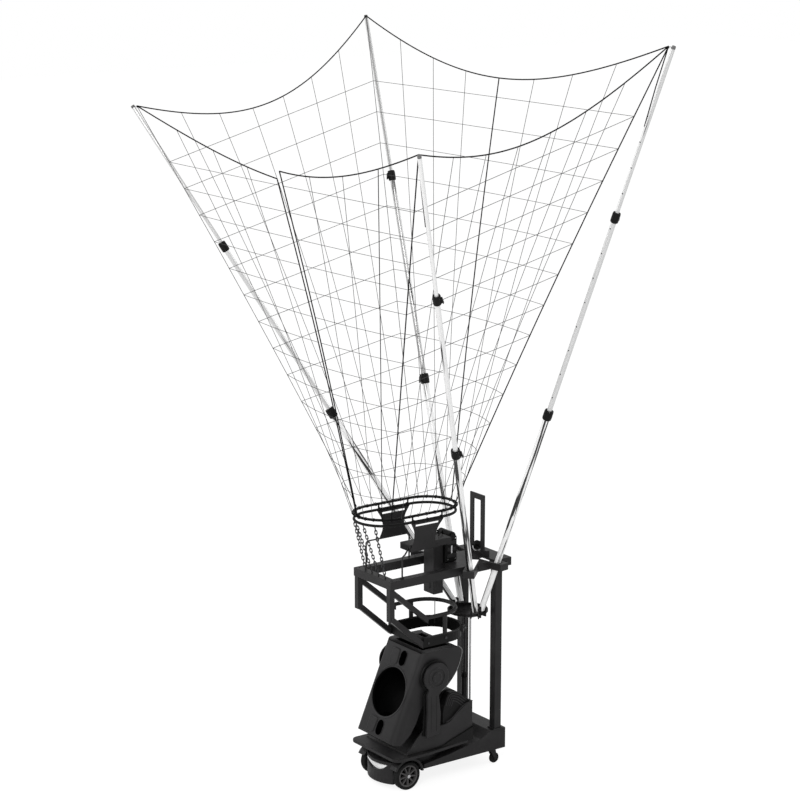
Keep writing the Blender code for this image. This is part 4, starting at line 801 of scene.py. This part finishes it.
def make_chains():
    """Four chains of alternating oval links from the ring's front to the frame's front tube."""
    for index, x in enumerate((-0.105, -0.035, 0.035, 0.105)):
        top = Vector((x, RING_FRONT_TURN - math.sqrt(RING_HALF_WIDTH ** 2 - x ** 2), RING_LOW_Z - 0.009))
        foot = Vector((x * 0.94, -0.103, 1.2965))
        along = (foot - top).normalized()
        pitch = (foot - top).length / CHAIN_LINKS
        straight = pitch * 0.5 + LINK_WIRE_RADIUS - LINK_HALF_WIDTH
        links = []
        for step in range(CHAIN_LINKS):
            place = Matrix.Translation(top + along * pitch * (step + 0.5))
            place = place @ along.to_track_quat("Z", "Y").to_matrix().to_4x4()
            place = place @ Matrix.Rotation(math.pi / 2 * (step % 2) + 0.5, 4, "Z")
            oval = []
            for angle in (math.tau * turn / LINK_STEPS for turn in range(LINK_STEPS)):
                end = straight if math.sin(angle) > 0 else -straight
                spot = (LINK_HALF_WIDTH * math.cos(angle), 0, end + LINK_HALF_WIDTH * math.sin(angle))
                oval.append(place @ Vector(spot))
            links.append((add_tube, oval, LINK_WIRE_RADIUS, 6, True))
        chain = built(f"link_chain_{index + 1}", *links)
        dress(smooth(chain), DARK_STEEL, "frame_steel")
        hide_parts(f"chain_{index + 1}")


def pole_place(name):
    """A matrix at a pole's pin: Z runs along the pole and X along its hinge."""
    pin, tip, _clamp = POLES[name]
    along = (tip - pin).normalized()
    hinge = UP.cross(along).normalized()
    across = along.cross(hinge)
    return Matrix.Translation(pin) @ Matrix((hinge, across, along)).transposed().to_4x4()


def make_clamp(name, part, place, end, tube, inner):
    """A clamp's collar at the end of a tube, with its lug and lever; inner is its bore above the tube."""
    outer = tube + 0.0066
    lever = place @ Matrix.Translation((outer + 0.006, 0, end - 0.014)) @ Matrix.Rotation(math.radians(-10), 4, "Y")
    item = built(
        f"clamp_{name}_{part}",
        (add_lathe, [
            (tube + 0.0003, end - 0.06), (outer + 0.0008, end - 0.055), (outer + 0.0018, end - 0.046),
            (outer + 0.0018, end - 0.008), (outer, end + 0.002), (inner, end + 0.003), (inner, end - 0.0005),
            (outer - 0.0003, end - 0.0005), (outer - 0.0003, end - 0.056), (tube + 0.0003, end - 0.058),
        ], place, 28),
        (add_box, (outer - 0.002, -0.008, end - 0.046), (outer + 0.007, 0.008, end - 0.012), place),
        (add_box, (-0.0025, -0.007, -0.036), (0.0025, 0.007, 0.003), lever),
    )
    dress(soften(item, 0.0012, 2, 40), BLACK_PLASTIC, "cover_plastic", f"{name}_{part}")


def make_pole_fittings():
    """The two clamps of each pole, its tip's cap and hook, and the spring buttons along its sliding tubes."""
    low_tube, middle_tube, high_tube = POLE_RADIUS
    for name, (pin, tip, upper_clamp) in POLES.items():
        place = pole_place(name)
        length = (tip - pin).length
        make_clamp(name, "lower", place, CLAMP_AT_LOWER, low_tube, middle_tube + 0.0012)
        make_clamp(name, "middle", place, upper_clamp, middle_tube, high_tube + 0.0012)
        inward = place.to_3x3().inverted() @ Vector((-tip.x, -tip.y, 0)).normalized()
        hook = bow(UP * (length - 0.012) + inward * 0.02, UP, inward, 0.009, range(-110, 131, 24))
        cap = built(
            f"tip_cap_{name}",
            (add_lathe, [
                (0.0004, length - 0.014), (high_tube + 0.0003, length - 0.014), (high_tube + 0.0003, length - 0.001),
                (high_tube - 0.001, length + 0.0015), (0.0004, length + 0.002),
            ], place, 24),
            (add_tube, [place @ point for point in hook], 0.0018, 6),
        )
        dress(smooth(cap), TIP_GREY, "cover_plastic", f"{name}_upper")
        for part, tube, first, last in (
            ("middle", middle_tube, CLAMP_AT_LOWER + 0.09, upper_clamp - 0.08),
            ("upper", high_tube, upper_clamp + 0.12, length - 0.45),
        ):
            buttons = []
            for step in range(int((last - first) / BUTTON_PITCH) + 1):
                height = first + step * BUTTON_PITCH
                ends = [place @ Vector((out - tube, 0, height)) for out in (0.003, -0.0003)]
                buttons.append((add_rod, *ends, 0.004, 10))
            item = built(f"spring_buttons_{name}_{part}", *buttons)
            dress(smooth(item), DARK_STEEL, "bright_steel", f"{name}_{part}")


# How deep the border rope sags on each face of the net
NET_SAG = {"side": 0.1, "back": 0.1, "right": 0.09}
# The front rope is in two halves that meet at the seam: the seam's depth, and each half's own sag
FRONT_SEAM_DEPTH = (0.125, 0.103)
FRONT_HALF_SAG = (0.02, 0.034)
# The net's faces in order round it: the poles at their ends, the cells across, and the kind of face
NET_FACES = (
    ("front_left", "front_right", 8, "front"), ("front_right", "rear_right", 7, "right"),
    ("rear_right", "rear_left", 8, "back"), ("rear_left", "front_left", 7, "side"),
)
NET_ROWS = 13
NET_FIRST_ROW = 0.14
ROW_DEPTHS = [NET_FIRST_ROW + (1.0 - NET_FIRST_ROW) * row / NET_ROWS for row in range(NET_ROWS + 1)]
# Rows from the poles' tips down to this one go in the net's upper parts, the rows below it in its lower parts
NET_CUT = ROW_DEPTHS[9]
NET_SLACK = 1e-6
NET_SEAM_HALF = 0.009
# How far outside the ring's middle line the net hangs, and how far round its half circles, in degrees,
# the side faces reach
NET_OUT = RING_TUBE_RADIUS + 0.004
NET_CORNER = 20
TIP_INWARD = 0.03
BELLY = 0.022
CORD_RADIUS = 0.00155
CORNER_CORD_RADIUS = 0.0018
DARK_CORD_RADIUS = 0.0024
SEAM_RADIUS = 0.0036
KNOT_RADIUS = 0.0024
BORDER_RADIUS = 0.0038
LACING_RADIUS = 0.0022


def rope_depth(kind, share):
    """How deep the border rope hangs at a share of the way along a face."""
    if kind != "front":
        return 4 * NET_SAG[kind] * share * (1 - share)
    half = 0 if share < 0.5 else 1
    reach = 2 * share if half == 0 else 2 * (1 - share)
    return FRONT_SEAM_DEPTH[half] * reach + 4 * FRONT_HALF_SAG[half] * reach * (1 - reach)


def ring_point(kind, share):
    """Where the net meets the ring, at a share of the way along one of its faces."""
    radius = RING_HALF_WIDTH + NET_OUT
    if kind in ("front", "back"):
        turn, middle = (180, RING_FRONT_TURN) if kind == "front" else (0, RING_REAR_TURN)
        angle = math.radians(turn + NET_CORNER + (180 - 2 * NET_CORNER) * share)
        return Vector((radius * math.cos(angle), middle + radius * math.sin(angle), RING_Z))
    # The right side, from front to rear: a bend, the straight and a bend
    bend = radius * math.radians(NET_CORNER)
    straight = RING_REAR_TURN - RING_FRONT_TURN
    along = (straight + 2 * bend) * share - bend
    on_straight = min(max(along, 0.0), straight)
    angle = (along - on_straight) / radius
    x, y = radius * math.cos(angle), RING_FRONT_TURN + on_straight + radius * math.sin(angle)
    if kind == "side":
        x, y = -x, RING_FRONT_TURN + RING_REAR_TURN - y
    return Vector((x, y, RING_Z))


def net_columns():
    """Every column of the net in order round it: its quadrant, ends, rope's depth, and place on its face."""
    tips = {}
    for name, (_pin, tip, _clamp) in POLES.items():
        tips[name] = tip + Vector((-tip.x, -tip.y, 0)).normalized() * TIP_INWARD
    columns = []
    for start, end, cells, kind in NET_FACES:
        shares = [step / cells for step in range(cells)]
        if kind == "front":
            shares[cells // 2:cells // 2 + 1] = [0.5 - NET_SEAM_HALF, 0.5 + NET_SEAM_HALF]
        for share in shares:
            seam = (kind == "front" and abs(share - 0.5) < 0.02) or (kind == "back" and share == 0.5)
            columns.append({
                "quadrant": start if share < 0.5 else end, "high": tips[start].lerp(tips[end], share),
                "low": ring_point(kind, share), "rope": rope_depth(kind, share), "corner": share == 0,
                "seam": seam, "gap": kind == "front" and share == 0.5 - NET_SEAM_HALF, "kind": kind,
                "share": share,
            })
    return columns


def net_point(column, depth):
    """A point on the net's skin; depth is 0 at the poles' tips and 1 at the ring."""
    point = column["high"].lerp(column["low"], depth)
    belly = math.sin(math.pi * min(1.0, depth)) * BELLY
    centre = Vector((0, 0.05, point.z))
    return point + (centre - point).normalized() * belly


def net_between(here, there, share):
    """The ends of a column that lies between two others."""
    return {end: here[end].lerp(there[end], share) for end in ("high", "low")}


def net_part(depth):
    return "upper" if depth <= NET_CUT + NET_SLACK else "lower"


def add_uprights(meshes, columns):
    """The net's upright cords, cut where its two parts meet, with a knot at each row."""
    for column in columns:
        quadrant = column["quadrant"]
        depths = [column["rope"]] + [depth for depth in ROW_DEPTHS if depth > column["rope"]]
        cord, radius, sides = "ropes", SEAM_RADIUS, 7
        if not (column["seam"] or (column["corner"] and quadrant.endswith("right"))):
            if column["kind"] == "front" and abs(column["share"] - 0.875) < 0.01:
                radius = DARK_CORD_RADIUS
            else:
                cord, radius, sides = "cords", CORNER_CORD_RADIUS if column["corner"] else CORD_RADIUS, 6
        upper = [depth for depth in depths if depth <= NET_CUT + NET_SLACK]
        lower = [depth for depth in depths if depth >= NET_CUT - NET_SLACK]
        for part, chosen in (("upper", upper), ("lower", lower)):
            add_tube(meshes[quadrant, part, cord], [net_point(column, depth) for depth in chosen], radius, sides)
        for depth in depths[:-1]:
            place = Matrix.Translation(net_point(column, depth))
            knots = meshes[quadrant, net_part(depth), "knots"]
            bmesh.ops.create_icosphere(knots, subdivisions=1, radius=KNOT_RADIUS, matrix=place)


def add_rows(meshes, columns):
    """The net's rows and its border rope; a span between two quadrants is shared by both."""
    for here, there in zip(columns, columns[1:] + columns[:1]):
        if here["gap"]:
            continue
        owners = (here["quadrant"], there["quadrant"])
        middle = net_between(here, there, 0.5)
        for depth in ROW_DEPTHS:
            if depth < max(here["rope"], there["rope"]):
                continue
            start, mean, end = (net_point(column, depth) for column in (here, middle, there))
            cord, radius = ("ropes", LACING_RADIUS) if depth == ROW_DEPTHS[-1] else ("cords", CORD_RADIUS)
            for owner, piece in zip(owners, ((start, mean), (mean, end))):
                add_tube(meshes[owner, net_part(depth), cord], piece, radius, 6)
        rope = []
        share_end = there["share"] or 1.0
        for step in range(7):
            along = step / 6
            share = here["share"] + (share_end - here["share"]) * along
            rope.append(net_point(net_between(here, there, along), rope_depth(here["kind"], share)))
        halves = [(owners[0], rope[:4]), (owners[1], rope[3:])]
        if owners[0] == owners[1]:
            halves = [(owners[0], rope)]
        for owner, line in halves:
            add_tube(meshes[owner, "upper", "ropes"], line, BORDER_RADIUS, 7)


def make_net():
    """The net in four quadrants, one to a pole, each in a lower and an upper part."""
    columns = net_columns()
    corners = {column["quadrant"]: column for column in columns if column["corner"]}
    meshes = {
        (name, part, cord): bmesh.new()
        for name in POLES for part in ("lower", "upper") for cord in ("cords", "ropes", "knots")
    }
    add_uprights(meshes, columns)
    add_rows(meshes, columns)
    for (name, part, cord), shape in meshes.items():
        if not shape.verts:
            shape.free()
            continue
        item = smooth(mesh_object(f"net_{name}_{part}_{cord}", shape), 60)
        dress(item, ROPE if cord == "ropes" else NET_CORD, "net_nylon", None)
        if part == "lower":
            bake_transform(item)
        else:
            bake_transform(item)
    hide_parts("net")
    for name in POLES:
        make_net_tie(name, net_point(corners[name], 0.0))
    lacing = [(add_tube, ring_line(NET_OUT), LACING_RADIUS, 6, True)]
    for column in columns:
        low = column["low"]
        inward = Vector((-low.x, (RING_FRONT_TURN + RING_REAR_TURN) / 2 - low.y, 0)).normalized()
        loop = bow(low + inward * NET_OUT, inward, UP, 0.0105, range(0, 360, 36))
        lacing.append((add_tube, loop, 0.0014, 5, True))
    dress(smooth(built("net_ring_lacing", *lacing)), ROPE, "net_nylon")


def make_net_tie(name, corner):
    """The tie from a corner of the net to its pole's tip and, on the right, a tail down the pole."""
    pin, tip, _clamp = POLES[name]
    along = (tip - pin).normalized()
    parts = [(add_tube, [corner, tip - along * 0.012 + (corner - tip).normalized() * 0.024], 0.0022, 6)]
    if name.endswith("right"):
        side = (corner - tip).normalized()
        if name.startswith("front"):
            side = -pole_place(name).col[0].xyz
        foot = tip - along * 0.47 + side * 0.0125
        parts.append((add_tube, [corner, corner.lerp(foot, 0.5) + side * 0.003, foot], 0.0032, 6))
    dress(smooth(built(f"net_tie_{name}", *parts)), ROPE, "net_nylon", f"{name}_upper")


DRIVE_CABLES = (
    ((0.03, 0.36, 1.47), (0.04, 0.345, 1.492), (0.06, 0.32, 1.495), (0.085, 0.29, 1.4775)),
    ((0, 0.372, 1.462), (-0.01, 0.345, 1.478), (-0.012, 0.31, 1.462), (0, 0.3, 1.4345)),
)


def make_drive():
    """The lift drive between frame and guide plate: housing, motor, covers, bolts, a bright strip that is a painted
    highlight, and cables.
    """
    body = built("drive_housing", (add_box, (-0.071, 0.352, 1.296), (0.071, 0.436, 1.452)))
    dress(soften(body, 0.008, 3), BLACK_PLASTIC, "cover_plastic")
    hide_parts("drive_box")
    motor = built(
        "drive_motor", (add_rod, (-0.045, 0.4, 1.452), (0.068, 0.4, 1.452), 0.027, 28),
        (add_rod, (0.06, 0.4, 1.452), (0.076, 0.4, 1.452), 0.019, 24),
    )
    dress(smooth(motor), BLACK_PLASTIC, "cover_plastic")
    covers = [(add_box, (0.07, 0.362, z), (0.0745, 0.426, z + 0.022)) for z in (1.325, 1.365, 1.405)]
    covers.append((add_box, (-0.03, 0.349, 1.31), (0.034, 0.353, 1.44)))
    dress(soften(built("drive_covers", *covers), 0.0015, 2), MOULDED, "cover_plastic")
    bolts = [(add_rod, (0.069, y, z), (0.0745, y, z), 0.0042, 10) for z in (1.316, 1.44) for y in (0.367, 0.421)]
    # A bright steel strip on the housing's side: a painted highlight
    bolts.append((add_box, (0.07, 0.388, 1.352), (0.0755, 0.397, 1.398)))
    dress(smooth(built("drive_bolts_and_highlight", *bolts)), ROD_STEEL, "bright_steel")
    cables = [(add_tube, smooth_line(line, 6), 0.0042, 8) for line in DRIVE_CABLES]
    dress(smooth(built("drive_cables", *cables)), BLACK_PLASTIC, "cover_plastic")


POST_X, POST_Y = 0.162, 0.66
# Just above the top of the frame's tubes
FRAME_TOP = 1.2942
STAY_LINE = (
    (POST_X, -0.029, FRAME_TOP), (POST_X, -0.029, 1.412), (0.16, -0.024, 1.42), (0.15, 0, 1.4285),
    (0.112, 0.0495, 1.445),
)


def make_frame_details():
    """Welded flanges, bolts, the stay beside the frame's opening, the handle's foot, a white arc under the pulley
    that is a painted highlight, and the end of the beam."""
    flanges, bolts, chute_bolts = [], [], []
    for sign in (-1, 1):
        x = sign * POST_X
        for half, low, high in ((0.033, 0.2352, 0.2412), (0.031, 1.2385, 1.2445)):
            flanges.append((add_box, (x - half, POST_Y - half, low), (x + half, POST_Y + half, high)))
        for bolt_x in (x - 0.028, x + 0.028):
            for y in (POST_Y - 0.028, POST_Y + 0.028):
                bolts.append((add_rod, (bolt_x, y, 0.2405), (bolt_x, y, 0.244), 0.0034, 6))
        for y in (0.372, 0.72):
            bolts.append((add_rod, (sign * 0.1868, y, 1.269), (sign * 0.1905, y, 1.269), 0.0055, 6))
        for y in (-0.103, 0.3):
            bolts.append((add_rod, (x, y, 1.2935), (x, y, 1.2968), 0.005, 6))
        chute_bolts.append((add_rod, (sign * 0.15, -0.11, 1.066), (sign * 0.1795, -0.11, 1.066), 0.0055, 6))
    dress(soften(built("post_flanges", *flanges), 0.0015, 2), FRAME_POWDER, "frame_steel")
    dress(built("frame_bolts", *bolts), DARK_STEEL, "bright_steel")
    stay = built(
        "beam_stay", (add_tube, STAY_LINE, 0.005, 10), (add_rod, STAY_LINE[0], (POST_X, -0.029, 1.2985), 0.011, 16),
    )
    dress(smooth(stay), FRAME_POWDER, "frame_steel")
    foot = built(
        "handle_foot", (add_box, (0.066, 0.629, FRAME_TOP), (0.104, 0.652, 1.33)),
        (add_box, (-0.1, 0.632, FRAME_TOP), (0.066, 0.6355, 1.312)),
    )
    dress(soften(foot, 0.002, 2), FRAME_POWDER, "frame_steel")
    # A white arc under the pulley: a painted highlight
    highlight_arc = bow(Vector((0, 0.64, 1.342)), ALONG, UP, 0.0335, range(180, 361, 12))
    dress(smooth(built("pulley_painted_highlight", (add_tube, highlight_arc, 0.0032, 8))), WHITE, "white_plastic")
    cap = [(add_box, (0.04, 0.0485, 1.436), (0.12, 0.0525, 1.464))]
    cap += [(add_rod, (0.0815, y, 1.4695), (0.0815, y, 1.473), 0.006, 12) for y in (0.12, 0.25)]
    dress(soften(built("beam_end_cap", *cap), 0.0012, 2), BLACK_PLASTIC, "cover_plastic")
    dress(built("chute_bolts", *chute_bolts), DARK_STEEL, "bright_steel")


HUB_RIBS = 20


def make_hub_details():
    """Ribs and a rim round the pole hub's cup, and the strut's two glands."""
    middle = Matrix.Translation((0, HUB_Y, 0))
    ribs = []
    for step in range(HUB_RIBS):
        turn = middle @ Matrix.Rotation(math.tau * (step + 0.5) / HUB_RIBS, 4, "Z")
        ribs.append((add_box, (0.111, -0.0035, 0.944), (0.1225, 0.0035, 0.9575), turn))
    rim = [(0.113, 0.9535), (0.113, 0.959), (0.1222, 0.959), (0.1222, 0.9535)]
    ribs.append((add_lathe, rim, middle, 64))
    dress(soften(built("hub_ribs", *ribs), 0.001, 2), BLACK_PLASTIC, "black_steel")
    place = Matrix.Translation((-0.03, HUB_Y, 0))
    glands = built(
        "strut_glands",
        (add_lathe, [
            (0.0083, 0.52), (0.0183, 0.52), (0.0205, 0.526), (0.0205, 0.541), (0.017, 0.547), (0.0083, 0.547),
        ], place, 32),
        (add_lathe, [(0.0083, 0.905), (0.016, 0.905), (0.016, 0.9245), (0.0083, 0.9245)], place, 32),
    )
    dress(smooth(glands), BLACK_PLASTIC, "black_steel")


SOCKET_Z = 0.172
SOCKET_EDGE = 0.003


def make_rear_details():
    """The frames round the switch and the inlet, and the inlet's pins."""
    frames = []
    for x, half_x, half_z in ((0.06, 0.0155, 0.0195), (-0.06, 0.0285, 0.0185)):
        inner_x, inner_z = half_x - SOCKET_EDGE, half_z - SOCKET_EDGE
        for low_x, high_x, low_z, high_z in (
            (-half_x, half_x, -half_z, -inner_z), (-half_x, half_x, inner_z, half_z),
            (-half_x, -inner_x, -inner_z, inner_z), (inner_x, half_x, -inner_z, inner_z),
        ):
            low = (x + low_x, 0.7158, SOCKET_Z + low_z)
            frames.append((add_box, low, (x + high_x, 0.7185, SOCKET_Z + high_z)))
    dress(soften(built("socket_frames", *frames), 0.0005, 2), BLACK_PLASTIC, "cover_plastic")
    pins = [
        (add_box, (x - 0.001, 0.6962, z - 0.0022), (x + 0.001, 0.712, z + 0.0022))
        for x, z in ((-0.067, 0.168), (-0.053, 0.168), (-0.06, 0.178))
    ]
    dress(built("inlet_pins", *pins), ROD_STEEL, "bright_steel")


NODE_EDGES = {
    "chassis": 0.0025, "front_skirt": 0.003, "lower_housing": 0.002, "turntable_deck": 0.002,
    "upper_frame": 0.003, "guide_plate": 0.0022, "post_left": 0.003, "post_right": 0.003,
    "chute_side_left": 0.0022, "chute_side_right": 0.0022, "lift_handle": 0.0014, "front_grip": 0.0015,
}
NODE_FINISHES = {
    POWDER: ("chassis", "turntable_deck", "pole_hub", "lift_strut", "caster_left_fork", "caster_right_fork"),
    FRAME_POWDER: (
        "upper_frame", "guide_plate", "post_left", "post_right", "chute_side_left", "chute_side_right",
        "chute_hoop", "panel_rail", "lift_handle",
    ),
    MOULDED: ("front_skirt", "lower_housing", "feed_column", "panel_beam"),
    BLACK_PLASTIC: ("rope_pulley", "power_switch", "ribbed_cover", "hopper"),
    TYRE: ("caster_left_wheel", "caster_right_wheel"),
    WHITE: ("front_grip",),
    ROD_STEEL: ("front_axle", "turntable_bearing", "guide_rod"),
    FLYWHEEL_RUBBER_AND_SHADE: ("flywheel_upper", "flywheel_lower"),
}


def soften_nodes():
    """Small rounded edges on the CAD nodes that stay in view."""
    for name, width in NODE_EDGES.items():
        node = NODES[name]
        node.modifiers.new("merged", "WELD").merge_threshold = 0.00002
        bevel(node, width, 2, 40)
        for face in node.data.polygons:
            face.use_smooth = False


def finish_nodes():
    """Finishes for the CAD nodes that are shown as they are."""
    for finish, names in NODE_FINISHES.items():
        for name in names:
            paint(NODES[name], finish)
    for name, (pin, tip, _clamp) in POLES.items():
        along = (tip - pin).normalized()
        reflection_streaked = tube_with_painted_reflections(f"streaked_{name}", along, 0.535, 0.82, 0.0)
        # The middle and upper tubes take each pole's own tone, painted light
        plain = tube_with_painted_reflections(f"lit_toned_{name}", along, 0.64, POLE_LIT_TONES[name], 0.35)
        for part, tube in (("lower", reflection_streaked), ("middle", plain), ("upper", plain)):
            paint(NODES[f"pole_{name}_{part}"], tube)


make_camera()
make_studio()
finish_nodes()
soften_nodes()
make_head()
make_arms()
make_cover_fins()
make_foot_shade_and_cheek_line()
make_wheels()
make_hopper()
make_ring()
make_chains()
make_pole_fittings()
make_net()
make_drive()
make_frame_details()
make_hub_details()
make_rear_details()
